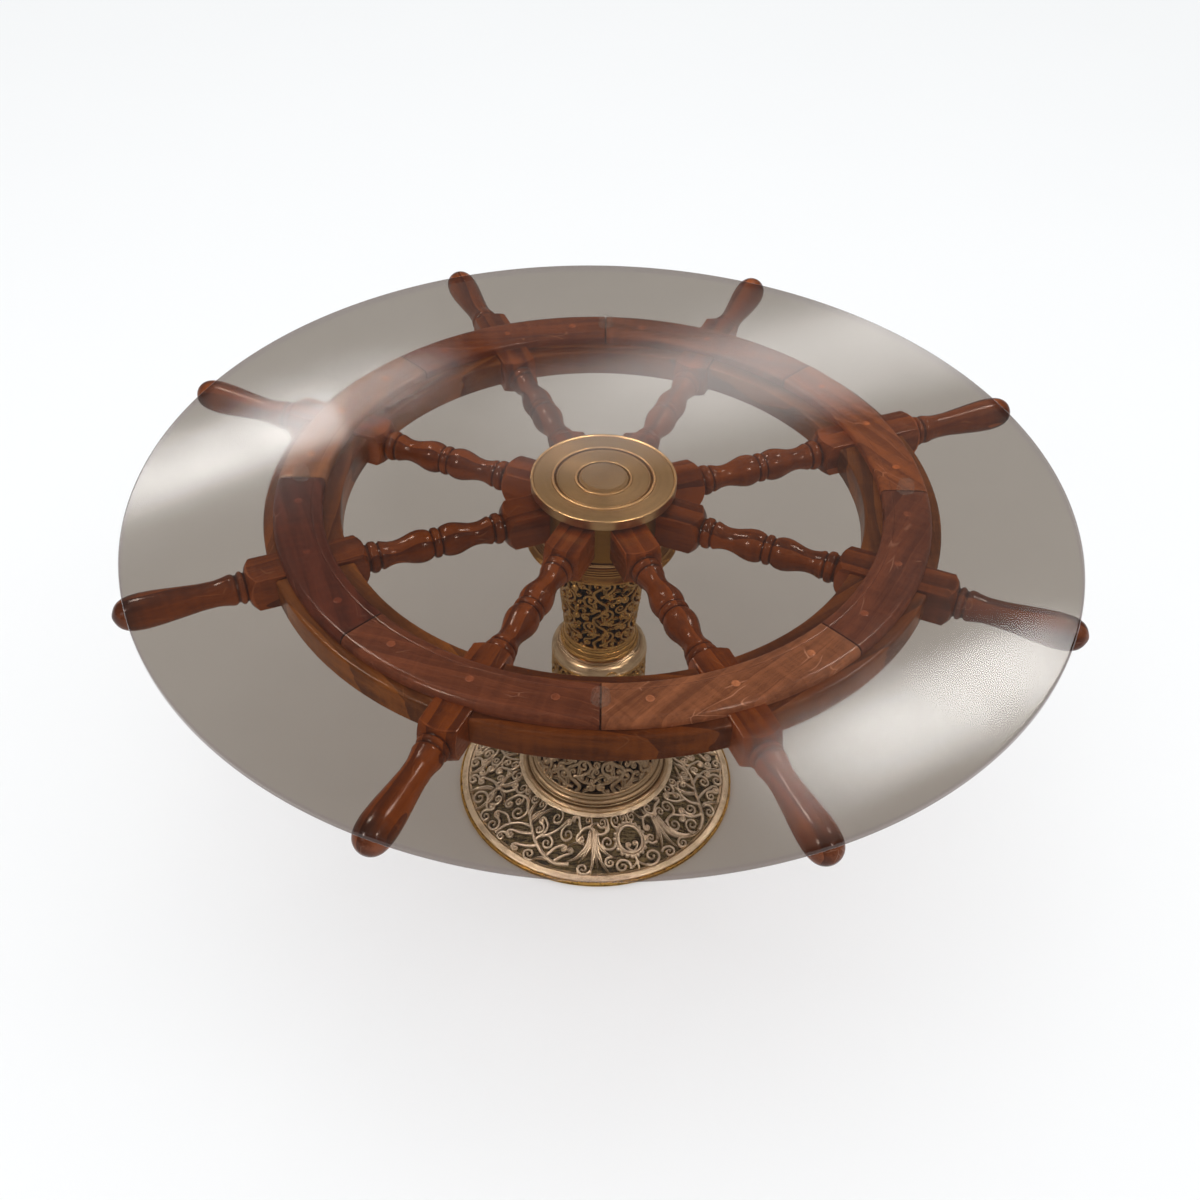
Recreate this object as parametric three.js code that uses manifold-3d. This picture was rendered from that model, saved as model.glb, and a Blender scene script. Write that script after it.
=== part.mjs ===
// A round glass-topped table made from an eight-spoke ship's steering wheel.
// The wheel lies flat and turns on a spindle, on a stacked cast brass pedestal.
// The glass lies loose on its pads, a little off the wheel's axis towards the front, -Y.
// Millimetres, +Z up. The origin is on the floor, below the middle of the whole outline.

import * as THREE from 'three';
import { mergeVertices } from 'three/addons/utils/BufferGeometryUtils.js';
import Module from 'manifold-3d';

const wasm = await Module();
wasm.setup();

// ---------------------------------------------------------------- driving dimensions

const GAP = 0.3; // clearance between pieces that touch

const SPOKE_COUNT = 8;
const SECTOR = (2 * Math.PI) / SPOKE_COUNT;
const FIRST_SPOKE_ANGLE = -2.5 * SECTOR; // two spokes straddle the front, -Y

const AXIS_Y = 28.35; // the wheel's axis stands behind the origin, because the glass lies forward
const WHEEL_MID_Z = 458; // height of the spokes' axes
const TIP_RADIUS = 533.5; // handle tips, 42 inches across
const BLOCK_WIDTH = 40; // square of each spoke's blank
const FELLOE = { inner: 287, outer: 369.5, halfHeight: 16, arris: 4 };
const FACING = { inner: 306, outer: 358.5, height: 12, innerRound: 5, outerRound: 8 };

const HUB = { radius: 73, bottom: 412, top: 484, flareRadius: 86.3, socketDepth: 19 };
const HUB_RECESS = { radius: 34, bottom: 464 };
const CAP = {
  radius: 80.3, top: 496, grooveOuter: 55, grooveInner: 30,
  spigotRadius: 33, spigotBore: 27, spigotBottom: 479,
};
const BUSH_RADIUS = 20;
const SPINDLE_RADIUS = 15;
const SPINDLE_THREAD_RADIUS = 10;
const SPINDLE_BOTTOM = 2;
const SPINDLE_TOP = 479;
const NUT = { acrossFlats: 30, height: 11 };
const SPINDLE_WASHER = { radius: 26, thickness: 3 };
const FOOT_WASHER = { radius: 22, thickness: 2 };
const THRUST_WASHER_RADIUS = 44;

const GLASS = { radius: 500, thickness: 8, bottom: 498, edgeRound: 2, forward: 50 };
const BUMPER = { radius: 10, taper: 1.5, pitchRadius: 332, count: 4 };
const HUB_PAD_RADIUS = 24;

const SHELL_WALL = 5;
const FOOT = {
  radius: 178.4, height: 5, bossRadius: 36, bossTop: 24, nutRecess: 14, nutRecessRadius: 26,
};
const FLANGE = {
  outer: 175.2, outerTop: 6.5, inner: 95.6, innerTop: 40, wall: 4,
  seatWidth: 14, // flat top that runs in under the base ring
  foldWidth: 6, // outer lip that stands on the foot
};
const LINER_WALL = 2.5;

const TURNED_SIDES = 10; // sides of a spoke's round stretches
const RIM_SIDES = 40; // whole ring, five facets to a sector
const BRASS_SIDES = 24;
const HUB_SIDES = 32;
const GLASS_SIDES = 80;

// ---------------------------------------------------------------- finishes

const FINISHES = {
  mahogany: { color: 0x6b3422, roughness: 0.32, metalness: 0 },
  teak: { color: 0x8a4b28, roughness: 0.32, metalness: 0 },
  satinBrass: { color: 0xa98a58, roughness: 0.34, metalness: 1 },
  antiqueBrass: { color: 0x7d6236, roughness: 0.42, metalness: 1 },
  silveredBrass: { color: 0xa99a80, roughness: 0.24, metalness: 1 },
  steel: { color: 0x8f9194, roughness: 0.4, metalness: 1 },
  bronze: { color: 0x9a7440, roughness: 0.45, metalness: 1 },
  woven: { color: 0x3d3828, roughness: 0.9, metalness: 0 },
  smokedGlass: { color: 0x8d8478, roughness: 0.04, metalness: 0, transparent: true, opacity: 0.35 },
  clearRubber: { color: 0xdcd9d2, roughness: 0.25, metalness: 0, transparent: true, opacity: 0.5 },
};

function finish(name) {
  return new THREE.MeshStandardMaterial(FINISHES[name]);
}

// ---------------------------------------------------------------- solids and outlines

// Closed surface with shared vertices and no zero-area triangles.
function welded(geometry) {
  const bare = geometry.clone();
  bare.deleteAttribute('normal');
  bare.deleteAttribute('uv');
  const merged = mergeVertices(bare, 1e-4);
  const corners = merged.getIndex().array;
  const kept = [];
  for (let i = 0; i < corners.length; i += 3) {
    const [a, b, c] = corners.slice(i, i + 3);
    if (a !== b && b !== c && c !== a) kept.push(a, b, c);
  }
  merged.setIndex(kept);
  return merged;
}

function toSolid(geometry) {
  const surface = welded(geometry);
  return new wasm.Manifold(
    new wasm.Mesh({
      numProp: 3,
      vertProperties: new Float32Array(surface.getAttribute('position').array),
      triVerts: new Uint32Array(surface.getIndex().array),
    }),
  );
}

function toGeometry(solid) {
  const mesh = solid.getMesh();
  const geometry = new THREE.BufferGeometry();
  geometry.setAttribute('position', new THREE.BufferAttribute(mesh.vertProperties.slice(), 3));
  geometry.setIndex(new THREE.BufferAttribute(mesh.triVerts.slice(), 1));
  geometry.computeVertexNormals();
  return geometry;
}

// Corners are [x, y] or [x, y, fillet radius]. Each fillet becomes an arc of arcSteps chords.
function filleted(corners, arcSteps) {
  const outline = [];
  corners.forEach(([x, y, radius = 0], i) => {
    const corner = new THREE.Vector2(x, y);
    if (radius === 0) {
      outline.push(corner);
      return;
    }
    const [beforeX, beforeY] = corners.at(i - 1);
    const [afterX, afterY] = corners[(i + 1) % corners.length];
    const toBefore = new THREE.Vector2(beforeX - x, beforeY - y).normalize();
    const toAfter = new THREE.Vector2(afterX - x, afterY - y).normalize();
    const halfAngle = Math.acos(THREE.MathUtils.clamp(toBefore.dot(toAfter), -1, 1)) / 2;
    const toCentre = toBefore.clone().add(toAfter).normalize();
    const centre = corner.clone().addScaledVector(toCentre, radius / Math.sin(halfAngle));
    const start = corner.clone().addScaledVector(toBefore, radius / Math.tan(halfAngle));
    const startAngle = start.sub(centre).angle();
    const turn = (Math.PI - 2 * halfAngle) * Math.sign(toAfter.cross(toBefore));
    for (let step = 0; step <= arcSteps; step += 1) {
      const angle = startAngle + (turn * step) / arcSteps;
      const arm = new THREE.Vector2(radius * Math.cos(angle), radius * Math.sin(angle));
      outline.push(arm.add(centre));
    }
  });
  return outline;
}

// Revolves an outline of [radius, height] corners about Z. The outline runs anticlockwise:
// outwards along the bottom, up the outside, inwards along the top.
function turned(corners, sides = BRASS_SIDES, arcSteps = 2) {
  const outline = filleted(corners, arcSteps);
  outline.push(outline[0].clone());
  return new THREE.LatheGeometry(outline, sides).rotateX(Math.PI / 2);
}

function box(width, depth, height, x, y, z) {
  return new THREE.BoxGeometry(width, depth, height).translate(x, y, z);
}

// Upright prism over the sector centred on +X, its two sides set back from the sector's edges.
function sectorPrism(setBack, height) {
  const half = SECTOR / 2;
  const reach = 2 * TIP_RADIUS;
  const apex = setBack / Math.sin(half);
  const shape = new THREE.Shape([
    new THREE.Vector2(apex, 0),
    new THREE.Vector2(apex + reach * Math.cos(half), -reach * Math.sin(half)),
    new THREE.Vector2(apex + reach * Math.cos(half), reach * Math.sin(half)),
  ]);
  const prism = new THREE.ExtrudeGeometry(shape, { depth: height, bevelEnabled: false });
  return prism.translate(0, 0, -height / 2);
}

const root = new THREE.Group();
root.position.y = AXIS_Y;
const pedestal = new THREE.Group();
const wheel = new THREE.Group();
const glassBody = new THREE.Group();
root.add(pedestal, wheel, glassBody);

function addPart(parent, name, geometry, finishName, angle = 0) {
  const mesh = new THREE.Mesh(welded(geometry), finish(finishName));
  mesh.name = name;
  mesh.rotation.z = angle;
  parent.add(mesh);
  return mesh;
}

// ---------------------------------------------------------------- spokes

// The envelope is [distance from the wheel's axis, radius]. It is wider than the blank's
// diagonal along the two square blocks, so these stay square when blank and envelope meet.
const CLEAR_OF_BLANK = 30;
const BALUSTER_CENTRE = 193.7;
const HANDLE_SHOULDER = 396; // outer end of the rim block

// Half of the baluster between hub and rim: offsets from its centre bead, and radii.
const HALF_BALUSTER = [
  [4, 15.8], [5.5, 14.3], [17.5, 18], [28, 16.4], [44, 12.6], [59.5, 15.4], [63.5, 14],
  [67.5, 16.8], [71.5, 16.8], [74.5, 14.8],
];

// Rounded end of a square block, as steps away from the point where its face ends.
const BLOCK_SHOULDER = [[0, 19.5], [4, 24.5], [8, CLEAR_OF_BLANK]];
const BALUSTER_HALF_LENGTH = 77.6;

// Handle: steps out from the rim block's end, and radii.
const HANDLE = [
  [2, 15], [4, 16.8], [8, 16.8], [11, 14.6], [17, 16.3], [34, 13.9], [74, 16.5], [108, 19],
  [124, 17.2], [134, 10],
];

function spokeEnvelope() {
  const hubSide = [];
  const rimSide = [];
  for (const [offset, radius] of HALF_BALUSTER) {
    hubSide.unshift([BALUSTER_CENTRE - offset, radius]);
    rimSide.push([BALUSTER_CENTRE + offset, radius]);
  }
  for (const [step, radius] of BLOCK_SHOULDER) {
    hubSide.unshift([BALUSTER_CENTRE - BALUSTER_HALF_LENGTH - step, radius]);
    rimSide.push([BALUSTER_CENTRE + BALUSTER_HALF_LENGTH + step, radius]);
  }
  const blockEnd = BLOCK_SHOULDER.map(([step, radius]) => [HANDLE_SHOULDER - step, radius]).reverse();
  const handle = HANDLE.map(([step, radius]) => [HANDLE_SHOULDER + step, radius]);
  const innerEnd = HUB.radius - HUB.socketDepth + GAP;
  return [
    [innerEnd, 0], [innerEnd, CLEAR_OF_BLANK], ...hubSide, [BALUSTER_CENTRE, 16.5], ...rimSide,
    ...blockEnd, ...handle, [TIP_RADIUS, 0],
  ];
}

function spokeGeometry() {
  const profile = spokeEnvelope().map(([along, radius]) => new THREE.Vector2(radius, along));
  const envelope = new THREE.LatheGeometry(profile, TURNED_SIDES).rotateZ(-Math.PI / 2);
  const blank = box(2 * TIP_RADIUS, BLOCK_WIDTH, BLOCK_WIDTH, TIP_RADIUS, 0, 0);
  return toGeometry(toSolid(blank).intersect(toSolid(envelope)));
}

// ---------------------------------------------------------------- rim

// One felloe fills the space between two neighbouring spokes' blocks.
function felloeGeometry() {
  const { inner, outer, halfHeight, arris } = FELLOE;
  const ring = turned([
    [inner, -halfHeight, arris],
    [outer, -halfHeight, arris],
    [outer, halfHeight, arris],
    [inner, halfHeight, arris],
  ], RIM_SIDES, 1);
  const between = sectorPrism(BLOCK_WIDTH / 2 + GAP, 4 * halfHeight);
  return toGeometry(toSolid(ring).intersect(toSolid(between)));
}

// One facing laps a spoke's block and the ends of two felloes. It is housed over the block,
// which stands a little proud of the felloes.
function facingGeometry() {
  const { inner, outer, height, innerRound, outerRound } = FACING;
  const underside = FELLOE.halfHeight + GAP;
  const top = FELLOE.halfHeight + height;
  const ring = turned([
    [inner, underside],
    [outer, underside],
    [outer, top, outerRound],
    [inner, top, innerRound],
  ], RIM_SIDES);
  const sector = sectorPrism(GAP / 2, 6 * top);
  const housingWidth = BLOCK_WIDTH + 2 * GAP;
  const housing = box(2 * outer, housingWidth, housingWidth, outer, 0, 0);
  return toGeometry(toSolid(ring).intersect(toSolid(sector)).subtract(toSolid(housing)));
}

function buildRimAndSpokes() {
  const rim = new THREE.Group();
  rim.position.z = WHEEL_MID_Z;
  wheel.add(rim);
  const spoke = spokeGeometry();
  const felloe = felloeGeometry();
  const facing = facingGeometry();
  for (let i = 0; i < SPOKE_COUNT; i += 1) {
    const angle = FIRST_SPOKE_ANGLE + i * SECTOR;
    const wood = i % 2 === 0 ? 'mahogany' : 'teak';
    addPart(rim, `spoke_${i + 1}`, spoke, 'mahogany', angle);
    addPart(rim, `felloe_${i + 1}`, felloe, 'teak', angle + SECTOR / 2);
    addPart(rim, `top_facing_${i + 1}`, facing, wood, angle);
    const underneath = new THREE.Group();
    underneath.rotation.x = Math.PI;
    rim.add(underneath);
    addPart(underneath, `bottom_facing_${i + 1}`, facing, wood, -angle);
  }
}

// ---------------------------------------------------------------- hub

function hubBarrelGeometry() {
  const { radius, bottom, top, flareRadius, socketDepth } = HUB;
  const bore = BUSH_RADIUS + GAP;
  const barrel = turned([
    [bore, bottom], [flareRadius, bottom], [flareRadius, bottom + 2],
    [radius + 8, bottom + 7.5], [radius + 6, bottom + 10.5], [radius + 4.5, bottom + 12.5],
    [radius + 3, bottom + 15], [radius + 3, bottom + 18.5], [radius, bottom + 19],
    [radius, top], [HUB_RECESS.radius, top], [HUB_RECESS.radius, HUB_RECESS.bottom],
    [bore, HUB_RECESS.bottom],
  ], HUB_SIDES);
  let solid = toSolid(barrel);
  const socketWidth = BLOCK_WIDTH + 2 * GAP;
  const socketStart = radius - socketDepth;
  for (let i = 0; i < SPOKE_COUNT; i += 1) {
    const socket = box(radius, socketWidth, socketWidth, socketStart + radius / 2, 0, WHEEL_MID_Z);
    socket.rotateZ(FIRST_SPOKE_ANGLE + i * SECTOR);
    solid = solid.subtract(toSolid(socket));
  }
  return toGeometry(solid);
}

function hubCapGeometry() {
  const { radius, top, grooveOuter, grooveInner, spigotRadius, spigotBore, spigotBottom } = CAP;
  const seat = HUB.top + GAP;
  return turned([
    [0, seat], [spigotBore, seat], [spigotBore, spigotBottom],
    [spigotRadius, spigotBottom], [spigotRadius, seat], [radius, seat],
    [radius, top - 1], [radius - 1, top], [radius - 3, top], [radius - 3.5, top - 1],
    [grooveOuter + 1, top - 1], [grooveOuter, top - 2],
    [grooveInner, top - 2], [grooveInner, top - 1], [0, top - 1],
  ], HUB_SIDES);
}

function hexPrism(acrossFlats, bore, bottom, top) {
  const outer = new THREE.Shape();
  const corner = acrossFlats / Math.sqrt(3);
  for (let i = 0; i < 6; i += 1) {
    const angle = (i * Math.PI) / 3;
    const point = [corner * Math.cos(angle), corner * Math.sin(angle)];
    if (i === 0) outer.moveTo(...point);
    else outer.lineTo(...point);
  }
  outer.holes.push(new THREE.Path().absarc(0, 0, bore, 0, 2 * Math.PI));
  const settings = { depth: top - bottom, bevelEnabled: false, curveSegments: 12 };
  return new THREE.ExtrudeGeometry(outer, settings).translate(0, 0, bottom);
}

function washer(bore, radius, bottom, top) {
  return turned([[bore, bottom], [radius, bottom], [radius, top], [bore, top]]);
}

function buildHub() {
  addPart(wheel, 'hub_barrel', hubBarrelGeometry(), 'satinBrass');
  addPart(wheel, 'hub_cap', hubCapGeometry(), 'satinBrass');
  const bushTop = HUB_RECESS.bottom - GAP;
  addPart(wheel, 'hub_bush', washer(SPINDLE_RADIUS + GAP, BUSH_RADIUS, HUB.bottom, bushTop), 'bronze');
}

// ---------------------------------------------------------------- glass and its rests

function buildGlass() {
  const { radius, thickness, bottom, edgeRound, forward } = GLASS;
  const top = bottom + thickness;
  const pane = turned([
    [0, bottom], [radius, bottom, edgeRound], [radius, top, edgeRound], [0, top],
  ], GLASS_SIDES, 1);
  addPart(glassBody, 'glass_top', pane.translate(0, -forward, 0), 'smokedGlass');

  const restTop = bottom - GAP;
  const capTop = CAP.top + GAP;
  const pad = turned([[0, capTop], [HUB_PAD_RADIUS, capTop], [HUB_PAD_RADIUS, restTop], [0, restTop]]);
  addPart(wheel, 'hub_pad', pad, 'clearRubber');

  const facingTop = WHEEL_MID_Z + FELLOE.halfHeight + FACING.height + GAP;
  const { radius: bumperRadius, taper } = BUMPER;
  const bumperOutline = [
    [0, facingTop], [bumperRadius, facingTop], [bumperRadius - taper, restTop], [0, restTop],
  ];
  for (let i = 0; i < BUMPER.count; i += 1) {
    const angle = Math.PI / 4 + (i * 2 * Math.PI) / BUMPER.count + SECTOR;
    const bumper = turned(bumperOutline, 16).translate(BUMPER.pitchRadius, 0, 0);
    addPart(wheel, `glass_bumper_${i + 1}`, bumper, 'clearRubber', angle);
  }
}

// ---------------------------------------------------------------- pedestal

// A thin-walled casting: the outline's outside, then the same points one wall further in.
function shell(outside, wall, sides = BRASS_SIDES) {
  const inside = outside.map(([radius, height]) => [radius - wall, height]).reverse();
  return turned([...outside, ...inside], sides);
}

// Heights at which the pedestal's castings meet, from the floor up.
const BELL_BOTTOM = 54;
const BELL_TOP = 140;
const LOWER_DRUM_BOTTOM = 152;
const LOWER_DRUM_TOP = 241;
const SHOULDER_TOP = 256;
const MOULDING_TOP = 271;
const UPPER_DRUM_TOP = 400;
const NECK_TOP = 408;

const LOWER_DRUM_RADIUS = 57.6;
const UPPER_DRUM_WAIST = 42;
const BELL_MOUTH = 80;

function buildFoot() {
  const bore = SPINDLE_THREAD_RADIUS + GAP;
  const foot = turned([
    [FOOT.nutRecessRadius, 0], [FOOT.radius, 0], [FOOT.radius, FOOT.height], [FOOT.bossRadius, FOOT.height],
    [FOOT.bossRadius, FOOT.bossTop], [bore, FOOT.bossTop], [bore, FOOT.nutRecess],
    [FOOT.nutRecessRadius, FOOT.nutRecess],
  ], RIM_SIDES);
  addPart(pedestal, 'foot_plate', foot, 'antiqueBrass');

  const washerTop = FOOT.nutRecess - GAP;
  const washerBottom = washerTop - FOOT_WASHER.thickness;
  addPart(pedestal, 'foot_washer', washer(bore, FOOT_WASHER.radius, washerBottom, washerTop), 'steel');
  const nut = hexPrism(NUT.acrossFlats, bore, SPINDLE_BOTTOM, washerBottom - GAP);
  addPart(pedestal, 'foot_nut', nut, 'steel');
}

// Height of the flange's sloping top at a given radius.
function flangeTop(radius) {
  const { outer, outerTop, inner, innerTop } = FLANGE;
  return outerTop + ((innerTop - outerTop) * (outer - radius)) / (outer - inner);
}

function buildBase() {
  const { outer, inner, wall, seatWidth, foldWidth } = FLANGE;
  const rimBottom = FOOT.height + GAP;
  const foldRadius = outer - foldWidth;
  const flange = turned([
    [inner - seatWidth, flangeTop(inner) - wall],
    [foldRadius, flangeTop(foldRadius) - wall + 1.6],
    [foldRadius, rimBottom],
    [outer, rimBottom],
    [outer, flangeTop(outer)],
    [inner, flangeTop(inner)],
    [inner - seatWidth, flangeTop(inner)],
  ], RIM_SIDES);
  addPart(pedestal, 'base_flange', flange, 'silveredBrass');

  const drop = wall + 2 * GAP;
  const linerOuter = foldRadius - 2 * foldWidth;
  const linerInner = FOOT.bossRadius + GAP;
  const linerTop = flangeTop(inner) - drop;
  const linerEdge = flangeTop(linerOuter) - drop;
  const liner = turned([
    [linerInner, linerTop - LINER_WALL],
    [inner - seatWidth, linerTop - LINER_WALL],
    [linerOuter, linerEdge - LINER_WALL],
    [linerOuter, linerEdge],
    [inner - seatWidth, linerTop],
    [linerInner, linerTop],
  ]);
  addPart(pedestal, 'base_liner', liner, 'woven');

  const ringBottom = FLANGE.innerTop + GAP;
  const ringTop = BELL_BOTTOM - GAP;
  const ringBore = BELL_MOUTH - 12;
  const ring = turned([
    [ringBore, ringBottom], [inner - 1, ringBottom], [inner - 1, ringBottom + 2.5, 1.2],
    [inner - 6, ringBottom + 4], [inner - 7.5, ringBottom + 3.4], [inner - 8.5, ringBottom + 6],
    [BELL_MOUTH + 2, ringBottom + 10], [BELL_MOUTH, ringTop], [ringBore, ringTop],
  ]);
  addPart(pedestal, 'base_ring', ring, 'silveredBrass');
}

function buildColumn() {
  const bell = [
    [BELL_MOUTH, BELL_BOTTOM], [76, BELL_BOTTOM + 20], [67, BELL_BOTTOM + 45],
    [59, BELL_BOTTOM + 72], [57, BELL_TOP],
  ];
  addPart(pedestal, 'bell', shell(bell, SHELL_WALL), 'silveredBrass');

  const ringBottom = BELL_TOP + GAP;
  const ringTop = LOWER_DRUM_BOTTOM - GAP;
  const bore = SPINDLE_RADIUS + GAP;
  addPart(pedestal, 'bell_ring', turned([
    [bore, ringBottom], [58, ringBottom], [62.5, ringBottom + 2.8, 2], [62.5, ringTop - 2.8, 2], [58, ringTop],
    [bore, ringTop],
  ]), 'antiqueBrass');

  const lowerDrum = [[LOWER_DRUM_RADIUS, LOWER_DRUM_BOTTOM], [LOWER_DRUM_RADIUS, LOWER_DRUM_TOP]];
  addPart(pedestal, 'lower_drum', shell(lowerDrum, SHELL_WALL), 'antiqueBrass');

  const shoulderBottom = LOWER_DRUM_TOP + GAP;
  addPart(pedestal, 'shoulder', turned([
    [bore, shoulderBottom], [LOWER_DRUM_RADIUS, shoulderBottom], [LOWER_DRUM_RADIUS, SHOULDER_TOP - 1, 11],
    [46, SHOULDER_TOP], [bore, SHOULDER_TOP],
  ], BRASS_SIDES, 3), 'silveredBrass');

  const mouldingBottom = SHOULDER_TOP + GAP;
  addPart(pedestal, 'drum_moulding', turned([
    [bore, mouldingBottom], [47.5, mouldingBottom], [47.5, mouldingBottom + 6, 2.4], [44.5, mouldingBottom + 7],
    [44.8, MOULDING_TOP - 2], [UPPER_DRUM_WAIST, MOULDING_TOP], [bore, MOULDING_TOP],
  ]), 'antiqueBrass');

  const upperDrum = [
    [UPPER_DRUM_WAIST, MOULDING_TOP + GAP], [44.2, 292], [48.4, 332], [50, UPPER_DRUM_TOP],
  ];
  addPart(pedestal, 'upper_drum', shell(upperDrum, SHELL_WALL), 'antiqueBrass');

  const neckBottom = UPPER_DRUM_TOP + GAP;
  addPart(pedestal, 'neck_collar', turned([
    [bore, neckBottom], [52, neckBottom], [52, neckBottom + 3, 1.4], [48, NECK_TOP], [bore, NECK_TOP],
  ]), 'antiqueBrass');
}

function buildSpindle() {
  const shaftTop = HUB_RECESS.bottom - GAP;
  const footSeat = FOOT.bossTop + GAP;
  addPart(pedestal, 'spindle', turned([
    [0, SPINDLE_BOTTOM], [SPINDLE_THREAD_RADIUS, SPINDLE_BOTTOM], [SPINDLE_THREAD_RADIUS, footSeat],
    [SPINDLE_RADIUS, footSeat], [SPINDLE_RADIUS, shaftTop], [SPINDLE_THREAD_RADIUS, shaftTop],
    [SPINDLE_THREAD_RADIUS, SPINDLE_TOP], [0, SPINDLE_TOP],
  ]), 'steel');

  const thrustBottom = NECK_TOP + GAP;
  const thrustTop = HUB.bottom - GAP;
  const thrustBore = SPINDLE_RADIUS + GAP;
  addPart(pedestal, 'thrust_washer',
    washer(thrustBore, THRUST_WASHER_RADIUS, thrustBottom, thrustTop), 'bronze');

  const threadBore = SPINDLE_THREAD_RADIUS + GAP;
  const washerBottom = HUB_RECESS.bottom + GAP;
  const washerTop = washerBottom + SPINDLE_WASHER.thickness;
  addPart(pedestal, 'spindle_washer',
    washer(threadBore, SPINDLE_WASHER.radius, washerBottom, washerTop), 'steel');
  const nut = hexPrism(NUT.acrossFlats, threadBore, washerTop + GAP, washerTop + NUT.height);
  addPart(pedestal, 'spindle_nut', nut, 'steel');
}

buildRimAndSpokes();
buildHub();
buildGlass();
buildFoot();
buildBase();
buildColumn();
buildSpindle();

export default root;
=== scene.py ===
"""A round glass-topped table made from an eight-spoke ship's wheel on a cast brass pedestal.

Shapes are worked out in millimetres about the wheel's axis, with the floor at z = 0. They are turned into
metres, and moved to where the axis stands, when each mesh is made.
"""
import math
import random

import bmesh
import bpy
import numpy as np
from mathutils import Matrix, Vector
from mathutils.kdtree import KDTree


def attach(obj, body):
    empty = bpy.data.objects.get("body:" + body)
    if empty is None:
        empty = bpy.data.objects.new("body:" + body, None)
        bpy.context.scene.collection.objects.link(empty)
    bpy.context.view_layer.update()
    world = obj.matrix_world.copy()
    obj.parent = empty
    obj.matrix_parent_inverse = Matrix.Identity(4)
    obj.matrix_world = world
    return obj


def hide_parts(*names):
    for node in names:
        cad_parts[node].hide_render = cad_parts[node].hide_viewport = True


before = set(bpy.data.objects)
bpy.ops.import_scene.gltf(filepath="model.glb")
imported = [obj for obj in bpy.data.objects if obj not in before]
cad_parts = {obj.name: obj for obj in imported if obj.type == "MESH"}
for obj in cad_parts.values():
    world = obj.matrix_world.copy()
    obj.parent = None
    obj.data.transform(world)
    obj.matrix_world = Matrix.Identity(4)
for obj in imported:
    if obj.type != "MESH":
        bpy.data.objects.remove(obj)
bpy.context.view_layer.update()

MM = 0.001
TAU = 2 * math.pi

# The wheel's axis stands this far behind the origin.
AXIS_Y = 28.35

SPOKES = 8
SECTOR = TAU / SPOKES
FIRST_SPOKE = -2.5 * SECTOR
# Height of the middle of the spokes and rim, and radius of the middle of the rim.
WHEEL_Z = 458.0
RIM_MIDDLE = 332.0
# Half the width of a spoke's square blank, and the gap between it and a felloe.
BLOCK_HALF = 20.0
JOINT_GAP = 0.3
# Radius of the spindle's hole in the castings.
BORE = 15.3


# ---------------------------------------------------------------- colours

def linear(red, green, blue):
    """Linear light from a colour of 0 to 255 per channel, as seen on a screen."""
    def one(value):
        value /= 255
        return value / 12.92 if value <= 0.04045 else ((value + 0.055) / 1.055) ** 2.4
    return (one(red), one(green), one(blue))


# ---------------------------------------------------------------- outlines and surfaces

def filleted(corners, steps=5):
    """Points of an outline of (x, y) or (x, y, radius) corners, with the radii rounded."""
    points = []
    count = len(corners)
    for i, corner in enumerate(corners):
        x, y = corner[:2]
        radius = corner[2] if len(corner) > 2 else 0
        here = Vector((x, y))
        if radius == 0:
            points.append((x, y))
            continue
        before = (Vector(corners[i - 1][:2]) - here).normalized()
        after = (Vector(corners[(i + 1) % count][:2]) - here).normalized()
        half = math.acos(max(-1, min(1, before.dot(after)))) / 2
        centre = here + (before + after).normalized() * (radius / math.sin(half))
        start = here + before * (radius / math.tan(half)) - centre
        turn = (math.pi - 2 * half) * (1 if after.x * before.y - after.y * before.x > 0 else -1)
        angle = math.atan2(start.y, start.x)
        for step in range(steps + 1):
            a = angle + turn * step / steps
            points.append((centre.x + radius * math.cos(a), centre.y + radius * math.sin(a)))
    return points


def supported(points):
    """A closed outline with extra points near the ends of its long straight parts, so that the
    shading of a rounded corner does not spread over the flat beside it."""
    reach = 0.3
    out = []
    for start, stop in zip(points, points[1:] + points[:1]):
        start, stop = np.array(start, float), np.array(stop, float)
        length = np.linalg.norm(stop - start)
        out.append(tuple(start))
        if length > 3:
            out.append(tuple(start + (stop - start) * reach / length))
            out.append(tuple(stop - (stop - start) * reach / length))
    return out


def smooth_curve(points, step):
    """Points about `step` apart on a curve through the given (x, y) points that never overshoots."""
    x, y = (np.array(values, float) for values in zip(*points))
    slope = np.diff(y) / np.diff(x)
    tangent = np.zeros_like(y)
    same = slope[:-1] * slope[1:] > 0
    tangent[1:-1][same] = 2 * slope[:-1][same] * slope[1:][same] / (slope[:-1] + slope[1:])[same]
    tangent[0], tangent[-1] = slope[0], slope[-1]
    out = []
    for i in range(len(x) - 1):
        width = x[i + 1] - x[i]
        pieces = max(1, int(round(math.hypot(width, y[i + 1] - y[i]) / step)))
        for t in np.arange(pieces) / pieces:
            out.append((
                x[i] + t * width,
                (2 * t**3 - 3 * t**2 + 1) * y[i] + (t**3 - 2 * t**2 + t) * width * tangent[i]
                + (3 * t**2 - 2 * t**3) * y[i + 1] + (t**3 - t**2) * width * tangent[i + 1],
            ))
    out.append((x[-1], y[-1]))
    return out


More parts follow.
